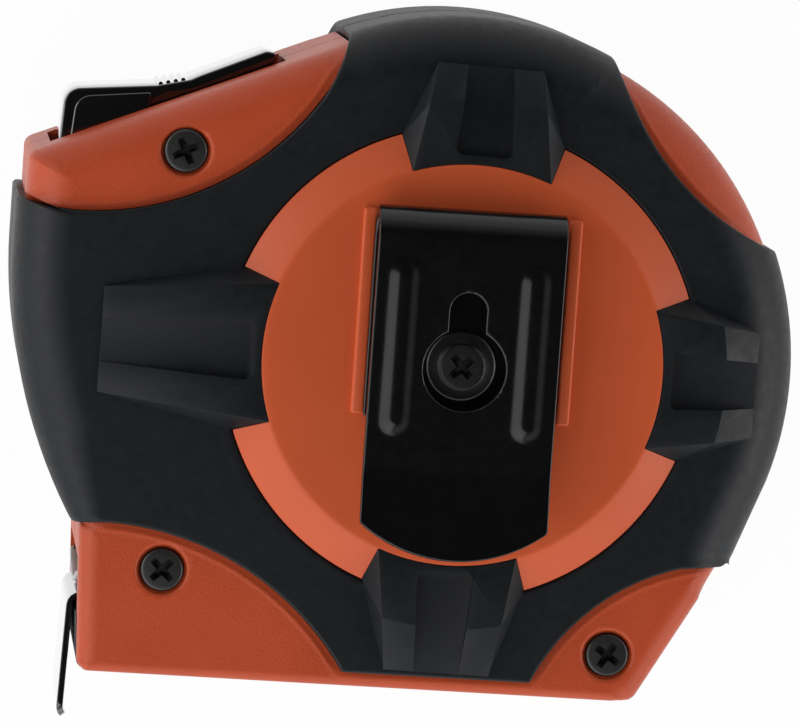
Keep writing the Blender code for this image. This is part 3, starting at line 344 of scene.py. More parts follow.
class Skin:
    """Skin of one case half along the rays: flat face, rounded shoulder, wall down to the seam."""

    def __init__(self, outline):
        self.angles = column_angles(outline)
        self.rays = np.stack((np.cos(self.angles), np.sin(self.angles)), axis=1)
        self.edge = outline.inset(self.rays, 0, True)
        width = outline.depth(self.rays * outline.inset(self.rays, 1, True)[:, None], False)
        flat = np.full(len(self.angles), RING_RADIUS)
        radius, height, out, up = [flat], [np.full(len(flat), PANEL_FACE)], [flat * 0], [flat * 0 + 1]
        for angle in np.linspace(math.pi / 2, 0, SHOULDER_STEPS + 1):
            ring = outline.inset(self.rays, 1 - math.cos(angle), True)
            places = self.rays * ring[:, None]
            along = np.roll(places, -1, axis=0) - np.roll(places, 1, axis=0)
            normal = np.stack((along[:, 1], -along[:, 0]), axis=1)
            normal /= np.linalg.norm(normal, axis=1)[:, None]
            square = np.clip((normal * self.rays).sum(axis=1), LEAN_LIMIT, 1)
            radius.append(ring)
            height.append(PANEL_FACE - SHOULDER_RISE * width * (1 - math.sin(angle)))
            out.append(math.cos(angle) / square)
            up.append(flat * 0 + math.sin(angle))
        radius.append(radius[-1])
        height.append(flat * 0 + SEAM)
        out.append(out[-1])
        up.append(flat * 0)
        self.radius, self.height = np.stack(radius, axis=1), np.stack(height, axis=1)
        self.out, self.up = np.stack(out, axis=1), np.stack(up, axis=1)
        steps = np.hypot(np.diff(self.radius, axis=1), np.diff(self.height, axis=1))
        self.along = np.concatenate((flat[:, None] * 0, np.cumsum(steps, axis=1)), axis=1)
        self.length = self.along[:, -1]

    def at_radius(self, radius):
        """Length along each column at which it reaches a radius, or the whole length beyond the edge."""
        found = [np.interp(r, c[:-1], s[:-1]) for r, c, s in zip(radius, self.radius, self.along)]
        return np.where(radius < self.edge, found, self.length)

    def place(self, lengths, offset=0.0):
        """Radius and height at lengths along each column, moved outwards by an offset."""
        read = []
        for values in (self.radius, self.height, self.out, self.up):
            read.append(np.array([np.interp(s, a, v) for s, a, v in zip(lengths, self.along, values)]))
        radius, height, out, up = read
        return radius + offset * out, height + offset * up


def border(angles):
    """Distance from the axis at which the grip ends along each ray, and the stretch of slanted crossings."""
    best = np.full(len(angles), np.inf)
    for angle, band, radius in GRIP_CUTOUTS:
        far = RING_RADIUS + band + radius
        along = far * np.cos(angles - angle)
        square = along**2 - far**2 + radius**2
        hit = along - np.sqrt(np.maximum(square, 0))
        best = np.where((square > 0) & (along > 0), np.minimum(best, hit), best)
    down = -np.sin(angles)
    base = -BASE_EDGE / np.where(down > 0.05, down, 0.05)
    best = np.where(down > 0.05, np.minimum(best, base), best)
    best = np.minimum(best, 2 * FAR)
    slant = np.gradient(best, angles) / best
    return best, np.clip(np.sqrt(1 + slant**2), 1, 4)


def panel_depth(x, y):
    """How far a place lies inside the bare corner panels, negative under the grip."""
    best = BASE_EDGE - y
    for angle, band, radius in GRIP_CUTOUTS:
        centre = (RING_RADIUS + band + radius) * turn(angle)
        best = np.maximum(best, radius - np.hypot(x - centre[0], y - centre[1]))
    return best


def quarter(radius, count):
    """Offsets across and down of a quarter round, from its top to its side."""
    angles = np.linspace(0, math.pi / 2, count)
    return radius * (1 - np.sin(angles)), radius * (1 - np.cos(angles))


def link(name, points, faces):
    mesh = bpy.data.meshes.new(name)
    mesh.from_pydata(np.asarray(points, float).tolist(), [], faces)
    made = bpy.data.objects.new(name, mesh)
    bpy.context.scene.collection.objects.link(made)
    return made


def tidy(made, merge=1e-6):
    """Weld coincident points, drop loose ones and turn all faces outwards."""
    work = bmesh.new()
    work.from_mesh(made.data)
    bmesh.ops.remove_doubles(work, verts=work.verts, dist=merge)
    bmesh.ops.dissolve_degenerate(work, edges=work.edges, dist=merge)
    bmesh.ops.recalc_face_normals(work, faces=work.faces)
    bmesh.ops.delete(work, geom=[v for v in work.verts if not v.link_faces], context="VERTS")
    work.to_mesh(made.data)
    work.free()
    return made


def loft(name, rays, radius, height, ends="closed"):
    """Mesh with one profile for each ray: the profile closes on itself, or its ends are capped flat."""
    columns, count = radius.shape
    points = np.stack((rays[:, :1] * radius, rays[:, 1:] * radius, height), axis=2).reshape(-1, 3)
    index = np.arange(columns * count).reshape(columns, count)
    after = np.roll(index, -1, axis=0)
    last = count if ends == "closed" else count - 1
    faces = []
    for k in range(last):
        j = (k + 1) % count
        faces += np.stack((index[:, k], index[:, j], after[:, j], after[:, k]), axis=1).tolist()
    if ends == "capped":
        faces += [index[:, 0].tolist(), index[:, -1].tolist()]
    return tidy(link(name, points, faces))


def stacked(name, low, high):
    """Closed body between two rings of points that match one to one."""
    count = len(low)
    faces = [list(range(count)), list(range(count, 2 * count))]
    faces += [[i, (i + 1) % count, count + (i + 1) % count, count + i] for i in range(count)]
    return tidy(link(name, [*low, *high], faces))


def prism(name, outline, low, high):
    """Extrude an outline upwards from one height to another."""
    return stacked(name, *([(*p, h) for p in outline] for h in (low, high)))


def block(name, x, y, z):
    return prism(name, [(x[0], y[0]), (x[1], y[0]), (x[1], y[1]), (x[0], y[1])], z[0], z[1])


def turned(name, profile, steps=64, place=(0, 0)):
    """Turn a profile of radius and height about an upright axis, with flat ends."""
    angles = np.linspace(0, 2 * math.pi, steps, endpoint=False)
    rays = np.stack((np.cos(angles), np.sin(angles)), axis=1)
    profile = np.array(profile)
    made = loft(name, rays, np.tile(profile[:, 0], (steps, 1)), np.tile(profile[:, 1], (steps, 1)), "capped")
    made.data.transform(Matrix.Translation((*place, 0)))
    return made


def bake(made):
    """Make an object's modifiers part of its mesh."""
    graph = bpy.context.evaluated_depsgraph_get()
    result = bpy.data.meshes.new_from_object(made.evaluated_get(graph))
    made.modifiers.clear()
    old = made.data
    made.data = result
    bpy.data.meshes.remove(old)
    return made


def combine(target, tools, operation):
    """Apply one Boolean step with several tools that don't touch each other, then drop them."""
    tool = tools[0]
    if len(tools) > 1:
        with bpy.context.temp_override(active_object=tool, selected_editable_objects=tools):
            bpy.ops.object.join()
    step = target.modifiers.new("step", "BOOLEAN")
    step.operation = operation
    step.object = tool
    step.solver = "EXACT"
    bake(target)
    bpy.data.objects.remove(tool, do_unlink=True)
    return target


def bevel(made, width, segments=3, angle=math.radians(25)):
    step = made.modifiers.new("edges", "BEVEL")
    step.width = width
    step.segments = segments
    step.limit_method = "ANGLE"
    step.angle_limit = angle
    step.use_clamp_overlap = True
    return bake(made)


def piece(made, body, node, paint, smooth=math.radians(30)):
    """Finish a piece that stands for a node: name, shading, material and body."""
    made.name = node + "_fine"
    made.data.materials.clear()
    made.data.materials.append(paint)
    made.data.shade_smooth()
    made.data.set_sharp_from_angle(angle=smooth)
    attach(made, body)
    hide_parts(node)
    return made


def set_half(made, side):
    """Set a half piece above the parting plane, or mirrored below it."""
    if side < 0:
        made.data.transform(Matrix.Diagonal((1, 1, -1, 1)))
        made.data.flip_normals()
    made.data.transform(Matrix.Translation((0, 0, MID)))
    return made


def in_notch(angles):
    """Which rays pass through one of the pads' notches in the ring."""
    inside = np.zeros(len(angles), bool)
    for angle, _ in PADS:
        away = np.abs((angles - angle + math.pi) % (2 * math.pi) - math.pi)
        inside |= away < PAD_SPREAD
    return inside


def disc_profile(angles, hole):
    """Radius and height of the disc and the sloping ring on each ray, or of the notch beside a pad."""
    tilt = math.atan2(DISC_FACE - GRIP_FACE, RING_RADIUS - DISC_RADIUS)
    ring = [(hole, DISC_FACE), (DISC_RADIUS - 3 * DISC_ROUND, DISC_FACE)]
    bend = DISC_ROUND / math.tan(tilt / 2)
    for share in np.linspace(0, 1, 5):
        radius = DISC_RADIUS - DISC_ROUND + bend * math.sin(tilt * share)
        ring.append((radius, DISC_FACE - bend * (1 - math.cos(tilt * share))))
    ring += [(RING_RADIUS - GAP, GRIP_FACE), (RING_RADIUS, GRIP_FACE - GAP), (RING_RADIUS, BED_FACE)]
    across, down = quarter(DISC_ROUND / 2, 5)
    notch = [(hole, DISC_FACE), (DISC_RADIUS - 3 * DISC_ROUND, DISC_FACE)]
    notch += [(DISC_RADIUS - a, DISC_FACE - d) for a, d in zip(across, down)]
    notch += [(DISC_RADIUS, BED_FACE), (DISC_RADIUS + MM, BED_FACE), (RING_RADIUS, BED_FACE)]
    choice = in_notch(angles)[:, None, None]
    both = np.where(choice, np.array(notch), np.array(ring))
    return both[:, :, 0], both[:, :, 1]


def panel_samples(skin, start, slant):
    """Lengths along each column of a bare panel: close by its border, then flat, shoulder and wall."""
    scale = np.minimum(slant, 0.4 * (skin.length - start) / BORDER_STEPS[-1])
    close = start[:, None] + scale[:, None] * BORDER_STEPS
    last = close[:, -1:]
    shoulder = np.maximum(skin.along[:, 1:-1], last)
    flat = last + (shoulder[:, :1] - last) * np.linspace(0, 1, 16)[1:]
    wall = shoulder[:, -1:] + (skin.length[:, None] - shoulder[:, -1:]) * np.linspace(0, 1, 5)[1:]
    return np.concatenate((close, flat, shoulder, wall), axis=1)


def case_shell(name, skin, outline, hole):
    """One half of the orange case: disc, ring, bed under the grip, corner panels and hollow."""
    reach, slant = border(skin.angles)
    start = skin.at_radius(reach + GAP)
    inner = disc_profile(skin.angles, hole)
    fold = np.minimum(start, skin.along[:, -2])
    under = np.concatenate((fold[:, None] * np.linspace(0.02, 1, 14), start[:, None]), axis=1)
    bed = skin.place(under, -GRIP_BED)
    lengths = panel_samples(skin, start, slant)
    radius, _ = skin.place(lengths)
    depth = panel_depth(skin.rays[:, :1] * radius, skin.rays[:, 1:] * radius)
    width = np.clip(0.3 * (skin.edge - reach) / slant, 0.1 * MM, PANEL_EDGE)[:, None]
    over = width - depth
    drop = PANEL_EDGE_SLOPE * (over + np.sqrt(over**2 + PANEL_EDGE_SOFT**2)) / 2
    drop -= PANEL_LIP * np.exp(-((over / PANEL_LIP_WIDTH) ** 2)) * width / PANEL_EDGE
    bare = (skin.length - start) > 1e-7
    panel = skin.place(lengths, np.where(bare[:, None], -drop, -GRIP_BED))
    wall = outline.inset(skin.rays, SIDE_WALL, False)
    roof = outline.inset(skin.rays, 1.4 * SIDE_WALL, False)
    back = [(wall, SEAM), (wall, CAVITY - SIDE_WALL / 2), (roof, CAVITY)]
    back += [(0 * wall + r, h) for r, h in (
        (DISC_RADIUS - DISC_WALL, CAVITY), (DISC_RADIUS - DISC_WALL, DISC_CEILING), (hole, DISC_CEILING))]
    back_radius = np.stack([r for r, _ in back], axis=1)
    back_height = np.stack([0 * wall + h for _, h in back], axis=1)
    radius = np.concatenate((inner[0], bed[0], panel[0], back_radius), axis=1)
    height = np.concatenate((inner[1], bed[1], panel[1], back_height), axis=1)
    return loft(name, skin.rays, radius, height)


def grip_band(name, skin):
    """The rubber grip without its pads: a closed band round the ring, out to the panels or the seam."""
    reach, slant = border(skin.angles)
    end = skin.at_radius(reach - GAP)
    across, down = quarter(GRIP_ROUND, 6)
    count = len(skin.angles)
    inner_radius = np.tile(RING_RADIUS + GAP + across[::-1], (count, 1))
    inner_height = np.tile(GRIP_FACE - down[::-1], (count, 1))
    scale = np.minimum(slant, 0.2 * end / GRIP_ROUND)
    first, foot = skin.along[:, 1:2], skin.along[:, -2:-1]
    flat = GRIP_ROUND + (first - GRIP_ROUND) * np.linspace(0, 1, 21)[1:]
    wall = foot + (skin.length[:, None] - foot) * np.linspace(0, 1, 7)[1:]
    rings = np.concatenate((flat, skin.along[:, 2:-1], wall), axis=1)
    edge = end[:, None] - scale[:, None] * across[1:]
    lengths = np.concatenate((np.minimum(rings, (end - GRIP_ROUND * scale)[:, None]), edge), axis=1)
    radius, _ = skin.place(lengths)
    near = -panel_depth(skin.rays[:, :1] * radius, skin.rays[:, 1:] * radius)
    near = np.clip(np.minimum(near, skin.length[:, None] - lengths), 0, GRIP_ROUND)
    offset = GRIP_PROUD - GRIP_ROUND + np.sqrt(GRIP_ROUND**2 - (GRIP_ROUND - near) ** 2)
    outer = skin.place(lengths, offset)
    fold = np.minimum(end, skin.along[:, -2])
    lengths = np.concatenate((end[:, None], fold[:, None] * np.linspace(1, 0, 14)), axis=1)
    under = skin.place(lengths, -GRIP_BED + GAP)
    under[0][:, -1] = RING_RADIUS + GAP
    radius = np.concatenate((inner_radius, outer[0], under[0]), axis=1)
    height = np.concatenate((inner_height, outer[1], under[1]), axis=1)
    return loft(name, skin.rays, radius, height)


def pad_plan(angle, reach):
    """Plan points of one pad: inner arc, creases, ring corners and end corners."""
    along, across = turn(angle), turn(angle + math.pi / 2)
    spread = PAD_SPREAD - GAP / DISC_RADIUS
    inner = arc((0, 0), DISC_RADIUS + GAP, angle - spread, angle + spread, math.radians(3))
    ring = [RING_RADIUS * turn(angle + s * spread) for s in (-1, 1)]
    tip = [along * (RING_RADIUS + reach) + across * s * PAD_END_HALF for s in (-1, 1)]
    return inner, ring, tip


def crease_arc(inner, tip):
    """Arc across a pad's top where its flat part ends, between its two upper edges."""
    ends = []
    for start, end in zip((inner[0], inner[-1]), tip):
        along = end - start
        square = along @ along
        half = start @ along / square
        rest = (start @ start - (RING_RADIUS + PAD_FLAT) ** 2) / square
        ends.append(start + along * (math.sqrt(half * half - rest) - half))
    first, last = (math.atan2(y, x) for x, y in ends)
    sweep = (last - first + math.pi) % (2 * math.pi) - math.pi
    return arc((0, 0), RING_RADIUS + PAD_FLAT, first, first + sweep, math.radians(3))


def grip_pad(angle, reach):
    """Wedge pad: flat beside the disc, sloping to its end, with tapering side faces and an open recess."""
    inner, ring, tip = pad_plan(angle, reach)
    crease = crease_arc(inner, tip)
    root = BED_FACE + GRIP_BED / 2
    end = GRIP_FACE + PAD_END_STEP
    points = [(*p, DISC_FACE) for p in inner] + [(*p, DISC_FACE) for p in crease] + [(*p, end) for p in tip]
    points += [(*p, GRIP_FACE - GAP) for p in ring] + [(*p, root) for p in inner]
    points += [(*p, root) for p in tip] + [(*p, root) for p in ring]
    i, c = len(inner), len(crease)
    tips, feet, low = i + c, i + c + 2, i + c + 4
    low_tips, low_ring = low + i, low + i + 2
    faces = [[*range(i), *range(i + c - 1, i - 1, -1)], [*range(i, i + c), tips + 1, tips]]
    for s, (a, k) in enumerate(((0, i), (i - 1, i + c - 1))):
        faces += [[a, k, feet + s], [k, tips + s, feet + s]]
        faces += [[a, feet + s, low_ring + s, low + a], [feet + s, tips + s, low_tips + s, low_ring + s]]
    faces.append([tips, tips + 1, low_tips + 1, low_tips])
    faces += [[k, k + 1, low + k + 1, low + k] for k in range(i - 1)]
    faces.append([*range(low, low + i), low_ring + 1, low_tips + 1, low_tips, low_ring])
    pad = tidy(link("pad", points, faces))
    combine(pad, [pad_recess(angle, reach)], "DIFFERENCE")
    return bevel(pad, PAD_ROUND, 3, math.radians(14))


def pad_recess(angle, reach):
    """Cutter for a pad's recess, whose floor falls towards the pad's end."""
    along, across = turn(angle), turn(angle + math.pi / 2)
    start, end = DISC_RADIUS + RECESS_START, RING_RADIUS + reach + 2 * MM
    inner, outer = RECESS_INNER_HALF, RECESS_OUTER_HALF
    corners = np.array(((start, inner), (start, -inner), (end, -outer), (end, outer)))
    plan = rounded(corners, (RECESS_ROUND, RECESS_ROUND, 0, 0))
    high = DISC_FACE - RECESS_DEPTH
    low = high + (GRIP_FACE + PAD_END_STEP / 3 - high) * (plan[:, 0] - start) / (end - start)
    places = plan[:, :1] * along + plan[:, 1:] * across
    return stacked("recess", [(*p, h) for p, h in zip(places, low)], [(*p, FAR) for p in places])


# Belt clip: strip, bends, beads and key-shaped opening
CLIP_SHIFT = (-0.4 * MM, 0.15 * MM)
CLIP_HALF = 10.0 * MM
CLIP_THICK = 1.0 * MM
CLIP_LOW = 21.3 * MM
CLIP_HIGH = 26.7 * MM
CLIP_LOOP = 13.6 * MM
CLIP_BACK = -6.3 * MM
CLIP_BEND = -11.3 * MM
CLIP_TIP = -20.3 * MM
CLIP_NECK = 26.0 * MM
CLIP_TIP_HEIGHT = 27.65 * MM
CLIP_BEND_RADIUS = 5.0 * MM
CLIP_END_ROUND = 16.0 * MM
CLIP_EDGE = 0.16 * MM
CLIP_GRID = 0.32 * MM
CLIP_BACK_ROUND = 0.8 * MM
CLIP_TIP_ROUND = 0.6 * MM
KEYHOLE_RADIUS = 4.4 * MM
KEYHOLE_SLOT = 1.95 * MM
KEYHOLE_TOP = 8.2 * MM
BEAD_OFFSET = 7.0 * MM
BEAD_HALF = 1.95 * MM
BEAD_TOP = 11.8 * MM
BEAD_BOTTOM = -7.6 * MM
BEAD_RISE = 0.4 * MM
BEAD_FLAT = 0.3 * MM


def clip_line():
    """Centre line of the bent clip as points of Y and height, from the back leg's end to the tip."""
    loop = arc((CLIP_LOOP, (CLIP_LOW + CLIP_HIGH) / 2), (CLIP_HIGH - CLIP_LOW) / 2, -math.pi / 2, math.pi / 2)
    neck = np.array((CLIP_BEND, CLIP_NECK))
    bend = fillet(loop[-1], neck, np.array((CLIP_TIP, CLIP_TIP_HEIGHT)), CLIP_BEND_RADIUS, math.radians(1))
    back = [(y, CLIP_LOW) for y in np.linspace(CLIP_BACK, CLIP_LOOP, 12)]
    front = [loop[-1] + (bend[0] - loop[-1]) * t for t in np.linspace(0, 1, 16)[1:-1]]
    return np.array([*back, *loop[1:], *front, *bend, (CLIP_TIP, CLIP_TIP_HEIGHT)])


def circle_loop(x, y, radius, step=math.radians(5)):
    return arc((x, y), radius, 0, 2 * math.pi, step)[:-1]


def loop_distance(places, loop):
    """Distance from each place to a closed loop of points."""
    start, across = loop, np.roll(loop, -1, axis=0) - loop
    away = places[:, None, :] - start
    share = (away * across).sum(axis=2) / (across**2).sum(axis=1)
    away = away - np.clip(share, 0, 1)[:, :, None] * across
    return np.linalg.norm(away, axis=2).min(axis=1)


def within(places, loop):
    """Which places lie inside a closed loop, by counting crossings."""
    inside = np.zeros(len(places), bool)
    x, y = places[:, 0], places[:, 1]
    for (ax, ay), (bx, by) in zip(loop, np.roll(loop, -1, axis=0)):
        if ay == by:
            continue
        inside ^= ((ay > y) != (by > y)) & (x < (bx - ax) * (y - ay) / (by - ay) + ax)
    return inside


def resample(loop, step):
    """Closed loop with its points spread about evenly, corners kept."""
    points = []
    for a, b in zip(loop, np.roll(loop, -1, axis=0)):
        count = max(1, round(np.linalg.norm(b - a) / step))
        points += [a + (b - a) * k / count for k in range(count)]
    return np.array(points)


def offset_loop(loop, amount):
    """Move a counter-clockwise loop inwards by an amount, or a clockwise one away from its hole."""
    along = np.roll(loop, -1, axis=0) - np.roll(loop, 1, axis=0)
    normal = np.stack((-along[:, 1], along[:, 0]), axis=1)
    return loop + amount * normal / np.linalg.norm(normal, axis=1)[:, None]


def rim_height(distance, thick, radius):
    """Half thickness of a plate with a rounded rim, at a distance from its edge."""
    near = np.clip(radius - distance, 0, radius)
    return thick / 2 - radius + np.sqrt(radius**2 - near**2)


def plate(name, outer, holes, thick, radius, grid, shape, rise=None):
    """Plate with rounded rims from flat loops: shape bends flat places, rise presses beads out."""
    loops = [resample(outer, grid), *(resample(h[::-1], grid) for h in holes)]
    places = []
    edges = []
    for share in (0, 0.12, 0.45, 1):
        for loop in loops:
            start = len(places)
            places += list(offset_loop(loop, share * radius))
            if share == 0:
                edges += [(start + k, start + (k + 1) % len(loop)) for k in range(len(loop))]
    x, y = np.meshgrid(*(np.arange(outer[:, k].min(), outer[:, k].max(), grid) for k in (0, 1)))
    fill = np.stack((x.ravel(), y.ravel()), axis=1)
    fill = fill[within(fill, outer)]
    room = np.min([loop_distance(fill, loop) for loop in loops], axis=0)
    kept = room > 1.4 * radius
    for hole in holes:
        kept &= ~within(fill, hole)
    places += list(fill[kept])
    flat = np.array(places)
    found = delaunay_2d_cdt([Vector(p) for p in flat], edges, [], 0, 1e-9)
    flat = np.array([tuple(p) for p in found[0]])
    centres = np.array([flat[list(f)].mean(axis=0) for f in found[2]])
    inside = within(centres, outer)
    for hole in holes:
        inside &= ~within(centres, hole)
    tops = [f for f, ok in zip(found[2], inside) if ok]
    count = len(flat)
    distance = np.min([loop_distance(flat, loop) for loop in loops], axis=0)
    half = rim_height(distance, thick, radius)
    lift = rise(flat) if rise else np.zeros(count)
    points = np.concatenate((shape(flat, half + lift), shape(flat, lift - half)))
    faces = [list(f) for f in tops] + [[count + k for k in f[::-1]] for f in tops]
    used = dict.fromkeys((a, b) for f in tops for a, b in zip(f, [*f[1:], f[0]]))
    faces += [[b, a, count + a, count + b] for a, b in used if (b, a) not in used]
    return tidy(link(name, points, faces))


def bent_path(line):
    """Lengths along a line of points, and its direction at each point."""
    along = np.concatenate(((0,), np.cumsum(np.linalg.norm(np.diff(line, axis=0), axis=1))))
    tangent = np.gradient(line, axis=0)
    return along, tangent / np.linalg.norm(tangent, axis=1)[:, None]


def follow(line, along, tangent, lengths, lift):
    """Both coordinates of places at lengths along a bent line, lifted off it."""
    a, b = (np.interp(lengths, along, line[:, k]) for k in (0, 1))
    ta, tb = (np.interp(lengths, along, tangent[:, k]) for k in (0, 1))
    return a + lift * tb, b - lift * ta


def belt_clip():
    """Clip bent from one strip: back leg with the screw's hole, loop, beaded front leg and flared tip."""
    line = clip_line()
    along, tangent = bent_path(line)
    top = int(np.argmax(line[:, 0]))
    zero_back = float(np.interp(0, line[:top, 0], along[:top]))
    zero_front = float(np.interp(0, line[:top:-1, 0], along[:top:-1]))
    end = along[-1]

    def shape(flat, lift):
        y, h = follow(line, along, tangent, flat[:, 1], lift)
        return np.stack((flat[:, 0], y, MID + h), axis=1)

    def rise(flat):
        x = np.abs(flat[:, 0]) - BEAD_OFFSET
        y = zero_front - flat[:, 1]
        low, high = BEAD_BOTTOM + BEAD_HALF, BEAD_TOP - BEAD_HALF
        past = np.maximum(np.maximum(low - y, y - high), 0)
        share = np.clip((BEAD_HALF - np.hypot(x, past)) / (BEAD_HALF - BEAD_FLAT), 0, 1)
        return BEAD_RISE * (1 - np.cos(share * math.pi)) / 2

    spread = math.asin(CLIP_HALF / CLIP_END_ROUND)
    tip = arc((0, end - CLIP_END_ROUND), CLIP_END_ROUND, math.pi / 2 - spread, math.pi / 2 + spread)
    corners = [np.array((-CLIP_HALF, 0.0)), np.array((CLIP_HALF, 0.0)), *tip]
    tip_rounds = [CLIP_TIP_ROUND, *(0 for _ in tip[1:-1]), CLIP_TIP_ROUND]
    outer = rounded(corners, [CLIP_BACK_ROUND, CLIP_BACK_ROUND, *tip_rounds])
    slot = math.asin(KEYHOLE_SLOT / KEYHOLE_RADIUS)
    body = arc((0, zero_front), KEYHOLE_RADIUS, slot - math.pi / 2, 3 * math.pi / 2 - slot, math.radians(5))
    crown = (0, zero_front - KEYHOLE_TOP + KEYHOLE_SLOT)
    head = arc(crown, KEYHOLE_SLOT, math.pi, 2 * math.pi, math.radians(9))
    keyhole = np.concatenate((body, head))
    hole = circle_loop(0, zero_back, CLIP_HOLE)
    return plate("clip_plate", outer, [keyhole, hole], CLIP_THICK, CLIP_EDGE, CLIP_GRID, shape, rise)


def cross_cutter(wing, half, low, high, angle):
    """Tapered cross recess of a screw, as one star-shaped cutter."""
    plan = []
    for k in range(4):
        along, across = turn(angle + k * math.pi / 2), turn(angle + (k + 1) * math.pi / 2)
        plan += [along * wing - across * half, along * wing + across * half]
        plan.append(along * half * CROSS_WAIST + across * half * CROSS_WAIST)
    plan = np.array(plan)
    rise = 0.4 * MM
    outer = plan * (1 + CROSS_TAPER * rise / (high - low))
    return stacked("cross", [(*p, low) for p in plan * CROSS_TAPER], [(*p, high + rise) for p in outer])


def screw(name, head, shank, height, reach, turned_by, flange=None):
    """Pan-head screw with a cross recess and an optional flange; its head's underside is at zero."""
    profile = [(shank * 0.6, -reach), (shank, -reach + shank), (shank, 0)]
    base = 0.0
    if flange:
        wide, base = flange
        across, down = quarter(0.3 * MM, 5)
        profile.append((wide - 0.15 * MM, 0))
        profile += [(wide - a, base * 0.75 - d) for a, d in zip(across[::-1], down[::-1])]
        profile += [(head + 0.12 * MM, base), (head, base + 0.1 * MM)]
    else:
        profile.append((head, 0))
    dome = height - base
    for angle in np.linspace(0, math.pi / 2, 9)[:-1]:
        radius = head * (1 - HEAD_DRAW * (1 - math.cos(angle)))
        profile.append((radius, base + dome * (HEAD_SIDE + HEAD_ROUND * math.sin(angle))))
    profile += [(head * 0.82, base + dome * 0.985), (head * 0.3, height)]
    made = turned(name, profile)
    floor = height - dome * CROSS_DEPTH
    cross = cross_cutter(head * CROSS_REACH, head * CROSS_HALF, floor, height, turned_by)
    return combine(made, [cross], "DIFFERENCE")


def corner_plan(rows):
    """Closed outline in metres from rows of x, y and corner radius in millimetres."""
    rows = np.array(rows) * MM
    return rounded(list(rows[:, :2]), rows[:, 2])


# Side view of the lock about its pivot: x, y and corner radius in millimetres
LEVER_PAD = [(-7.9, -2.4, 0.5), (-7.5, 4.9, 1.9), (2.3, 5.85, 0.8), (5.9, 6.7, 0.8)]
LEVER_WING = [(7.0, 7.25, 1.2), (13.9, 10.3, 0.8), (15.0, 10.15, 0.35), (14.8, 9.0, 0.35), (7.2, 5.2, 0.9)]
LEVER_HUB = [(1.84, 1.54, 0), (2.4, 0.0, 0), (1.8, -1.6, 0), (0.0, -2.4, 0)]
LEVER_CAP = [(-6.8, -1.6, 0.4), (-6.3, 4.2, 1.9), (1.75, 5.1, 0.25), (1.75, -1.6, 0.2)]
LEVER_RIDGES = ((2.75, 6.0), (3.55, 6.2), (4.35, 6.39), (5.15, 6.58))
RIDGE_HALF = 5.6 * MM
RIDGE_RADIUS = 0.24 * MM
CAP_RISE = 0.4 * MM
CAP_EDGE = 0.34 * MM
LEVER_EDGE = 0.22 * MM
LEVER_TURN = math.radians(40)


def lock_lever():
    """Gloss thumb lock with ridges across its top and a raised cap on each cheek."""
    plan = corner_plan(LEVER_PAD + LEVER_WING + LEVER_HUB)
    made = prism("lever", plan, CAP_RISE - LEVER_HALF, LEVER_HALF - CAP_RISE)
    bevel(made, LEVER_EDGE, 3, LEVER_TURN)
    cheek = prism("cap", corner_plan(LEVER_CAP), -LEVER_HALF, LEVER_HALF)
    bevel(cheek, CAP_EDGE, 4, LEVER_TURN)
    combine(made, [cheek], "UNION")
    side = [(RIDGE_RADIUS, -RIDGE_HALF), (RIDGE_RADIUS, RIDGE_HALF)]
    combine(made, [turned("ridge", side, 16, (x * MM, y * MM)) for x, y in LEVER_RIDGES], "UNION")
    combine(made, [turned("bore", [(PIN_RADIUS, -FAR), (PIN_RADIUS, FAR)], 32)], "DIFFERENCE")
    made.data.transform(Matrix.Translation((*PIVOT, MID)))
    return made


# End hook and the rivets that it slides on
HOOK_FACE = -39.4 * MM
HOOK_TOP = -28.2 * MM
HOOK_THICK = 0.7 * MM
HOOK_HALF = 9.0 * MM
HOOK_TONGUE_HALF = 6.4 * MM
HOOK_TONGUE = 9.0 * MM
HOOK_BEND = 1.5 * MM
HOOK_DROP = 13.75 * MM
HOOK_LEAN = 0.35 * MM
HOOK_FLOAT = 1.0 * MM
HOOK_CURL = 1.6 * MM
HOOK_CURL_RISE = 1.25 * MM
HOOK_CURL_TURN = math.radians(46)
HOOK_NECK = 0.3 * MM
HOOK_RIM = 0.08 * MM
HOOK_GRID = 0.4 * MM
RIVET_X = -34.6 * MM
RIVET_OFFSET = 4.2 * MM
RIVET_HOLE = 1.2 * MM


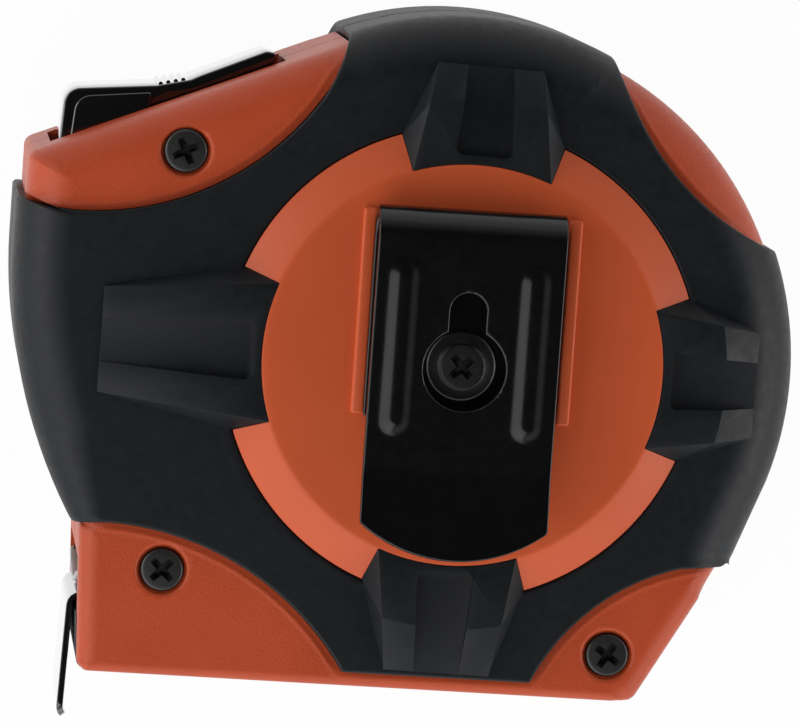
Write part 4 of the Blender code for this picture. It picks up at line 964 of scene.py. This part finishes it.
def end_hook():
    """End hook as a bent plate: tongue under the blade, wider leg with rounded corners and curled lip."""
    outer = HOOK_FACE - HOOK_THICK
    middle = HOOK_THICK / 2
    corner = (outer + HOOK_BEND, HOOK_TOP - HOOK_BEND)
    bend = arc(corner, HOOK_BEND - middle, math.pi / 2, math.pi, math.radians(10))
    curl_y = HOOK_TOP - HOOK_DROP + HOOK_CURL_RISE
    foot = outer + middle - HOOK_LEAN
    curl = arc((foot + HOOK_CURL, curl_y), HOOK_CURL, math.pi, math.pi + HOOK_CURL_TURN, math.radians(8))
    top = [(x, HOOK_TOP - middle) for x in np.linspace(HOOK_FACE + HOOK_TONGUE, corner[0], 8)]
    heights = np.linspace(corner[1], curl_y, 10)
    leg = [(outer + middle - HOOK_LEAN * k / 9, y) for k, y in enumerate(heights)]
    line = np.array([*top, *bend[1:], *leg[1:], *curl[1:]])
    along, tangent = bent_path(line)
    turn_at = HOOK_TONGUE - HOOK_BEND
    end = along[-1]

    def shape(flat, lift):
        x, y = follow(line, along, tangent, flat[:, 1], lift)
        return np.stack((x, y, MID + flat[:, 0]), axis=1)

    narrow, wide, neck = HOOK_TONGUE_HALF, HOOK_HALF, turn_at + HOOK_NECK
    corners = [(-narrow, 0), (narrow, 0), (narrow, turn_at), (wide, neck)]
    corners += [(wide, end), (-wide, end), (-wide, neck), (-narrow, turn_at)]
    rounds = np.array((1.5, 1.5, 0.5, 1.0, 1.6, 1.6, 1.0, 0.5)) * MM
    plan = rounded(np.array(corners, float), rounds)
    holes = []
    near = HOOK_FACE + HOOK_TONGUE - RIVET_X
    for x in (-RIVET_OFFSET, RIVET_OFFSET):
        first = arc((x, near - HOOK_FLOAT), RIVET_HOLE, math.pi, 2 * math.pi, math.radians(15))
        last = arc((x, near), RIVET_HOLE, 0, math.pi, math.radians(15))
        holes.append(np.concatenate((first, last)))
    return plate("hook_plate", plan, holes, HOOK_THICK, HOOK_RIM, HOOK_GRID, shape)


# Straight end of the blade
BLADE_Y = -27.65 * MM
BLADE_THICK = 0.5 * MM
BLADE_HALF = 12.5 * MM
BLADE_CAMBER = 2.6 * MM
BLADE_END = -39.4 * MM
BLADE_START = -0.4 * MM
BLADE_FLAT = 8.6 * MM
BLADE_CORNER = 2.5 * MM
BLADE_CORNER_BACK = 0.6 * BLADE_CORNER
BLADE_RIM = 0.12 * MM
BLADE_GRID = 0.5 * MM


def blade_tongue():
    """Straight end of the blade: flat at the roll, cambered at the mouth, with clipped corners."""
    length = BLADE_START - BLADE_END

    def shape(flat, lift):
        z = flat[:, 0]
        x = BLADE_START - flat[:, 1]
        share = np.clip((NOSE_X + BLADE_FLAT - x) / BLADE_FLAT, 0, 1)
        camber = BLADE_CAMBER * share * share * (3 - 2 * share) * (z / BLADE_HALF) ** 2
        return np.stack((x, BLADE_Y + camber + lift, MID + z), axis=1)

    half, tip, back = BLADE_HALF, BLADE_HALF - BLADE_CORNER, length - BLADE_CORNER_BACK
    corners = [(-half, 0), (half, 0), (half, back), (tip, length), (-tip, length), (-half, back)]
    plan = rounded(np.array(corners, float), np.array((0, 0, 0.6, 0.6, 0.6, 0.6)) * MM)
    near = BLADE_START - RIVET_X
    holes = [circle_loop(x, near, RIVET_HOLE, math.radians(15)) for x in (-RIVET_OFFSET, RIVET_OFFSET)]
    return plate("blade_plate", plan, holes, BLADE_THICK, BLADE_RIM, BLADE_GRID, shape)


def nose_bumper():
    """Soft strip on the nose that the hook snaps back against, turned in under the base corner."""
    back, front = BUMPER_SEAT - GAP, BUMPER_FRONT
    plan = [(back, BUMPER_TOP), (front, BUMPER_TOP), (front + 0.25 * MM, BASE_Y + CORNER_ROUND)]
    plan += [(front + 0.45 * MM, BASE_Y + 0.5 * MM), (front + 0.8 * MM, BASE_Y + 0.15 * MM)]
    plan.append((back, BASE_Y + GAP))
    made = prism("bumper", plan, MID - BUMPER_HALF, MID + BUMPER_HALF)
    return bevel(made, BUMPER_EDGE, 3)


class Nodes:
    """Short calls that add nodes to one tree."""

    def __init__(self, tree):
        self.tree = tree

    def node(self, kind, sockets=(), **settings):
        made = self.tree.nodes.new(kind)
        for key, value in settings.items():
            setattr(made, key, value)
        for index, value in dict(sockets).items():
            if isinstance(value, bpy.types.NodeSocket):
                self.tree.links.new(value, made.inputs[index])
            else:
                made.inputs[index].default_value = value
        return made

    def math(self, operation, *values):
        return self.node("ShaderNodeMath", dict(enumerate(values)), operation=operation).outputs[0]

    def spread(self, value, start, end, low, high):
        """Map a value's range from start to end onto low to high."""
        sockets = {"Value": value, "From Min": start, "From Max": end, "To Min": low, "To Max": high}
        return self.node("ShaderNodeMapRange", sockets).outputs["Result"]


class Paint(Nodes):
    """A procedural material: its nodes end in one principled shader."""

    def __init__(self, name, **inputs):
        self.material = bpy.data.materials.new(name)
        self.material.use_nodes = True
        super().__init__(self.material.node_tree)
        self.shader = self.tree.nodes["Principled BSDF"]
        for key, value in inputs.items():
            self.shader.inputs[key.replace("_", " ")].default_value = value
        self.place = self.node("ShaderNodeTexCoord").outputs["Object"]

    def noise(self, size, detail=3.0, rough=0.55):
        """Noise whose marks are about as large as the given size in metres."""
        sockets = {"Vector": self.place, "Scale": 1 / size, "Detail": detail, "Roughness": rough}
        return self.node("ShaderNodeTexNoise", sockets).outputs["Fac"]

    def tones(self, value, dark, light):
        ramp = self.node("ShaderNodeValToRGB", {"Fac": value})
        for mark, position, colour in zip(ramp.color_ramp.elements, (0.3, 0.7), (dark, light)):
            mark.position = position
            mark.color = (*colour, 1)
        return ramp.outputs["Color"]

    def bump(self, height, depth, strength=1.0):
        sockets = {"Height": height, "Distance": depth, "Strength": strength}
        return self.node("ShaderNodeBump", sockets).outputs["Normal"]

    def use(self, **values):
        for key, value in values.items():
            self.tree.links.new(value, self.shader.inputs[key.replace("_", " ")])
        return self.material


def speckled(name, dark, light, size, rough, grain, depth, **inputs):
    """Plain finish: slow tone changes, uneven roughness and a fine grain."""
    paint = Paint(name, **inputs)
    tone = paint.tones(paint.noise(size), dark, light)
    uneven = paint.spread(paint.noise(size / 5), 0.3, 0.7, *rough)
    return paint.use(Base_Color=tone, Roughness=uneven, Normal=paint.bump(paint.noise(grain), depth))


GRAIN_FADE = 0.1 * MM


def orange_abs():
    """Orange plastic: satin on the disc and ring, spark-grained on the corner panels."""
    paint = Paint("orange_abs_fine", Specular_IOR_Level=0.22)
    satin = paint.tones(paint.noise(14 * MM), (0.455, 0.073, 0.022), (0.495, 0.082, 0.026))
    rough = paint.tones(paint.noise(9 * MM), (0.355, 0.049, 0.0145), (0.395, 0.056, 0.0175))
    parts = paint.node("ShaderNodeSeparateXYZ", {"Vector": paint.place}).outputs
    squares = [paint.math("MULTIPLY", parts[k], parts[k]) for k in (0, 1)]
    radius = paint.math("SQRT", paint.math("ADD", *squares))
    outside = paint.spread(radius, RING_RADIUS - GRAIN_FADE, RING_RADIUS + GRAIN_FADE, 0.0, 1.0)
    tone = paint.node("ShaderNodeMix", {"Factor": outside, 6: satin, 7: rough}, data_type="RGBA").outputs[2]
    coarse = paint.spread(outside, 0, 1, 0.12, 1.0)
    grain = paint.bump(paint.noise(0.22 * MM, 2.0), 0.05 * MM, coarse)
    uneven = paint.spread(paint.noise(0.5 * MM), 0.3, 0.7, 0.36, 0.46)
    return paint.use(Base_Color=tone, Roughness=uneven, Normal=grain)


def blade_coat():
    """Pale coat with plain graduations on the blade's faces and bare steel at its cut edges."""
    paint = Paint("blade_coat_fine")
    parts = paint.node("ShaderNodeSeparateXYZ", {"Vector": paint.place}).outputs
    normal = paint.node("ShaderNodeNewGeometry").outputs["Normal"]
    upright = paint.math("ABSOLUTE", paint.node("ShaderNodeSeparateXYZ", {"Vector": normal}).outputs[1])
    edge = paint.spread(upright, 0.35, 0.6, 1.0, 0.0)
    margin = paint.math("SUBTRACT", BLADE_HALF, paint.math("ABSOLUTE", paint.math("SUBTRACT", parts[2], MID)))
    marks = None
    for step, length in ((1 * MM, 3 * MM), (5 * MM, 5 * MM), (10 * MM, 8 * MM)):
        phase = paint.math("FRACT", paint.math("DIVIDE", paint.math("ADD", parts[0], 0.2), step))
        line = paint.math("LESS_THAN", phase, 0.22 * MM / step)
        line = paint.math("MULTIPLY", line, paint.math("LESS_THAN", margin, length))
        marks = line if marks is None else paint.math("MAXIMUM", marks, line)
    tone = paint.tones(paint.noise(6 * MM), (0.36, 0.36, 0.35), (0.42, 0.42, 0.41))
    for factor, colour in ((marks, (0.01, 0.01, 0.01, 1)), (edge, (0.3, 0.3, 0.3, 1))):
        mixed = paint.node("ShaderNodeMix", {"Factor": factor, 6: tone, 7: colour}, data_type="RGBA")
        tone = mixed.outputs[2]
    uneven = paint.spread(paint.noise(1 * MM), 0.3, 0.7, 0.3, 0.42)
    return paint.use(Base_Color=tone, Roughness=uneven, Normal=paint.bump(paint.noise(0.4 * MM), 0.01 * MM))


# Plain finishes: dark and light tone, mark size, roughness range, grain size and depth, sizes in mm
FINISHES = {
    "rubber": ((0.0022, 0.0030, 0.0044), (0.0032, 0.0042, 0.0058), 5, (0.44, 0.54), 0.22, 0.012),
    "painted_steel": ((0.0022, 0.0022, 0.0023), (0.003, 0.003, 0.0032), 4, (0.15, 0.22), 0.3, 0.002),
    "enamel": ((0.003, 0.003, 0.003), (0.005, 0.005, 0.005), 3, (0.08, 0.14), 0.5, 0.002),
    "gloss": ((0.0035, 0.0035, 0.004), (0.0045, 0.0045, 0.005), 6, (0.1, 0.16), 0.8, 0.004),
    "screw": ((0.008, 0.0076, 0.0072), (0.012, 0.0113, 0.0108), 1.5, (0.3, 0.42), 0.25, 0.008),
    "steel": ((0.5, 0.5, 0.51), (0.6, 0.6, 0.6), 2, (0.25, 0.4), 0.2, 0.004),
    "spring": ((0.24, 0.24, 0.26), (0.34, 0.34, 0.36), 3, (0.3, 0.45), 0.3, 0.004),
    "reel": ((0.22, 0.22, 0.23), (0.28, 0.28, 0.29), 5, (0.42, 0.55), 0.3, 0.01),
}
# Shader settings of those finishes that aren't the usual ones
SETTINGS = {
    "rubber": {"Specular_IOR_Level": 0.24},
    "painted_steel": {"Specular_IOR_Level": 0.4},
    "enamel": {"Coat_Weight": 1.0},
    "gloss": {"Coat_Weight": 1.0},
    "steel": {"Metallic": 1.0},
    "spring": {"Metallic": 1.0},
}


def paints():
    """All materials by a short key."""
    made = {"orange": orange_abs(), "blade": blade_coat()}
    for key, (dark, light, size, rough, grain, depth) in FINISHES.items():
        settings = SETTINGS.get(key, {})
        made[key] = speckled(key + "_fine", dark, light, size * MM, rough, grain * MM, depth * MM, **settings)
    return made


def well_cutter(place):
    """Cutter for a case screw's well, with a rounded rim at the panel's face."""
    profile = [(WELL_THROAT, PANEL_FACE - SCREW_SINK), (WELL_THROAT, PANEL_FACE - 1.5 * WELL_ROUND)]
    for angle in np.linspace(0, math.radians(68), 6):
        radius = SCREW_WELL + WELL_ROUND * (1 - math.cos(angle))
        profile.append((radius, PANEL_FACE - WELL_ROUND * (1 - math.sin(angle)) - 0.02 * MM))
    radius, height = profile[-1]
    profile += [(radius + 0.5 * MM, height + 0.2 * MM), (radius + 0.5 * MM, FAR)]
    return turned("well", profile, 64, place)


def lever_slot():
    """Cutter for the opening in the sloping top that the lock rocks in."""
    reach = SLOPE_REACH - SLOT_DEPTH
    plan = [(x, (reach + x * math.sin(SLOPE)) / math.cos(SLOPE)) for x in SLOT_X]
    plan += [(x, FAR) for x in reversed(SLOT_X)]
    return prism("slot", plan, BELOW, SLOT_HALF)


def clip_rib(side):
    """Low rib beside the clip's back leg."""
    span = sorted(side * x for x in RIB_SPAN)
    return bevel(block("rib", span, RIB_Y, (DISC_FACE - MM, DISC_FACE + RIB_RISE)), RIB_EDGE, 3)


def finish_shell(shell, side):
    """Cut the openings of a case half and add what stands in or on it."""
    mouth = block("mouth", (-FAR, NOSE_X + MOUTH_DEPTH), (MOUTH_FLOOR, MOUTH_TOP), (BELOW, MOUTH_HALF))
    wells = [well_cutter(p) for p in SCREW_PLACES.values()] if side > 0 else []
    combine(shell, [lever_slot(), mouth, *wells], "DIFFERENCE")
    depth = (SLOT_HALF + 0.02 * MM, SLOT_HALF + BEARING_DEPTH)
    added = [block("bearing", PIVOT[0] + BEARING_X, PIVOT[1] + BEARING_Y, depth)]
    if side > 0:
        added += [clip_rib(s) for s in (-1, 1)]
    combine(shell, added, "UNION")
    high, half = MOUTH_FLOOR + 0.3 * MM, BUMPER_HALF + 0.1 * MM
    seat = block("seat", (-FAR, BUMPER_SEAT), (-FAR, high), (BELOW, half))
    pin = turned("pin", [(PIN_RADIUS, 0), (PIN_RADIUS, SLOT_HALF + PIN_REACH)], 24, PIVOT)
    combine(shell, [seat, pin], "DIFFERENCE")
    return set_half(shell, side)


def build_case(colours):
    """Both case halves and both grips."""
    outline = Outline(case_stretches())
    skin = Skin(outline)
    grip = grip_band("clip_side_grip_fine", skin)
    combine(grip, [grip_pad(angle, reach) for angle, reach in PADS], "UNION")
    lower = grip.copy()
    lower.data = grip.data.copy()
    bpy.context.scene.collection.objects.link(lower)
    upper_shell = case_shell("clip_side_shell_fine", skin, outline, CLIP_HOLE)
    lower_shell = case_shell("label_side_shell_fine", skin, outline, 0.0)
    for side, shell, rubber, name in ((1, upper_shell, grip, "clip"), (-1, lower_shell, lower, "label")):
        finish_shell(shell, side)
        set_half(rubber, side)
        piece(shell, "case", name + "_side_shell", colours["orange"])
        piece(rubber, "case", name + "_side_grip", colours["rubber"])


PLATE_SHADING = math.radians(50)


def build_fittings(colours):
    """Clip, screws, lock, hook, blade and bumper."""
    clip = belt_clip()
    clip.data.transform(Matrix.Translation((*CLIP_SHIFT, 0)))
    piece(clip, "case", "belt_clip", colours["painted_steel"], PLATE_SHADING)
    made = screw("clip_screw", *CLIP_SCREW)
    made.data.transform(Matrix.Translation((*CLIP_SHIFT, MID + CLIP_SCREW_SEAT)))
    piece(made, "case", "belt_clip_screw", colours["screw"])
    seat = PANEL_FACE - SCREW_SINK + CASE_SCREW_LIFT
    for name, place in SCREW_PLACES.items():
        made = screw("case_screw", *CASE_SCREW, seat + CASE_SCREW_REACH, SCREW_TURNS[name])
        made.data.transform(Matrix.Translation((*place, MID + seat)))
        piece(made, "case", name, colours["screw"])
    piece(lock_lever(), "lock", "lock_lever", colours["gloss"])
    piece(end_hook(), "hook", "end_hook", colours["enamel"], PLATE_SHADING)
    piece(blade_tongue(), "blade", "blade_tongue", colours["blade"], PLATE_SHADING)
    piece(nose_bumper(), "case", "nose_bumper", colours["rubber"])


# Finishes of the working parts that keep their meshes
INNER = {
    "lock_pin": "steel",
    "spring_arbor": "steel",
    "hook_rivet_label_side": "steel",
    "hook_rivet_clip_side": "steel",
    "brake_bar": "gloss",
    "reel_drum": "reel",
    "reel_cover": "reel",
    "blade_roll": "blade",
    "recoil_spring": "spring",
}


def paint_inner(colours):
    """Give the working parts that keep their meshes the same finishes."""
    for name, key in INNER.items():
        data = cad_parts[name].data
        data.materials.clear()
        data.materials.append(colours[key])


# Camera: direction from the part, roll, and the place of the disc in the picture
VIEW = Vector((-0.085, 0.095, 1)).normalized()
ROLL = math.radians(3.55)
LENS = 287.3
DISTANCE = 0.680
SHIFT_RIGHT = -6.71 * MM
SHIFT_UP = 0.37 * MM
SENSOR = 36
NEAR = 0.05


def add_camera():
    across = (Vector((1, 0, 0)) - VIEW * VIEW.x).normalized()
    level = VIEW.cross(across)
    right = across * math.cos(ROLL) + level * math.sin(ROLL)
    up = VIEW.cross(right)
    data = bpy.data.cameras.new("camera")
    data.lens = LENS
    data.sensor_width = SENSOR
    data.clip_start = NEAR
    camera = bpy.data.objects.new("camera", data)
    place = Vector((0, 0, MID + DISC_FACE)) + VIEW * DISTANCE + right * SHIFT_RIGHT + up * SHIFT_UP
    camera.matrix_world = Matrix((right, up, VIEW)).transposed().to_4x4()
    camera.location = place
    bpy.context.scene.collection.objects.link(camera)
    bpy.context.scene.camera = camera


# Stage: floor, surround as height and grey with its strength from front to back, and lights
FLOOR_CORNERS = ((-4, -4), (4, -4), (4, 4), (-4, 4))
FLOOR_HEIGHT = -0.05 * MM
FLOOR_COLOUR = (0.85, 0.85, 0.85, 1)
FLOOR_GLOW = 0.96
SURROUND = ((0.0, 1.0), (0.86, 0.015), (0.35, 0.8), (0.6, 0.35))
SURROUND_STRENGTH = (2.5, 0.9)
LIGHT_AIM = Vector((-0.005, 0, 0.03))
LIGHTS = {
    "key": ((-0.38, -0.42, 0.62), (0.8, 0.8), 3.3),
    "left": ((-0.75, 0.14, 0.34), (0.6, 0.45), 2.6),
    "right": ((0.75, -0.1, 0.28), (0.6, 0.45), 2.4),
}


def add_floor():
    """Pale floor that the camera and reflections see as white, and that keeps a faint shadow."""
    floor = link("floor", [(x, y, FLOOR_HEIGHT) for x, y in FLOOR_CORNERS], [(0, 1, 2, 3)])
    material = bpy.data.materials.new("floor_white")
    material.use_nodes = True
    nodes = Nodes(material.node_tree)
    nodes.tree.nodes.clear()
    path = nodes.node("ShaderNodeLightPath").outputs
    seen = nodes.math("MAXIMUM", path["Is Camera Ray"], path["Is Glossy Ray"])
    seen = nodes.math("MAXIMUM", seen, path["Is Transmission Ray"])
    share = nodes.math("MULTIPLY", seen, FLOOR_GLOW)
    diffuse = nodes.node("ShaderNodeBsdfDiffuse", {"Color": FLOOR_COLOUR}).outputs[0]
    glow = nodes.node("ShaderNodeEmission").outputs[0]
    mix = nodes.node("ShaderNodeMixShader", {"Fac": share, 1: diffuse, 2: glow}).outputs[0]
    nodes.node("ShaderNodeOutputMaterial", {"Surface": mix})
    floor.data.materials.append(material)


def add_surround():
    """World that is bright low down and dark overhead, and brighter on the base's side."""
    world = bpy.data.worlds.new("surround")
    bpy.context.scene.world = world
    world.use_nodes = True
    nodes = Nodes(world.node_tree)
    place = nodes.node("ShaderNodeTexCoord").outputs["Generated"]
    parts = nodes.node("ShaderNodeSeparateXYZ", {"Vector": place}).outputs
    fade = nodes.node("ShaderNodeValToRGB", {"Fac": parts["Z"]})
    marks = fade.color_ramp.elements
    for index, (position, grey) in enumerate(SURROUND):
        mark = marks[index] if index < 2 else marks.new(position)
        mark.position = position
        mark.color = (grey, grey, grey, 1)
    background = nodes.tree.nodes["Background"].inputs
    nodes.tree.links.new(nodes.spread(parts["Y"], -1, 1, *SURROUND_STRENGTH), background["Strength"])
    nodes.tree.links.new(fade.outputs["Color"], background["Color"])


def add_lights():
    for name, (place, size, power) in LIGHTS.items():
        data = bpy.data.lights.new(name, "AREA")
        data.shape = "RECTANGLE"
        data.size, data.size_y = size
        data.energy = power
        light = bpy.data.objects.new(name, data)
        light.location = place
        light.rotation_euler = (LIGHT_AIM - Vector(place)).to_track_quat("-Z", "Y").to_euler()
        bpy.context.scene.collection.objects.link(light)


def build():
    colours = paints()
    build_case(colours)
    build_fittings(colours)
    paint_inner(colours)
    add_floor()
    add_surround()
    add_lights()
    add_camera()
    scene = bpy.context.scene
    scene.view_settings.view_transform = "Standard"


build()
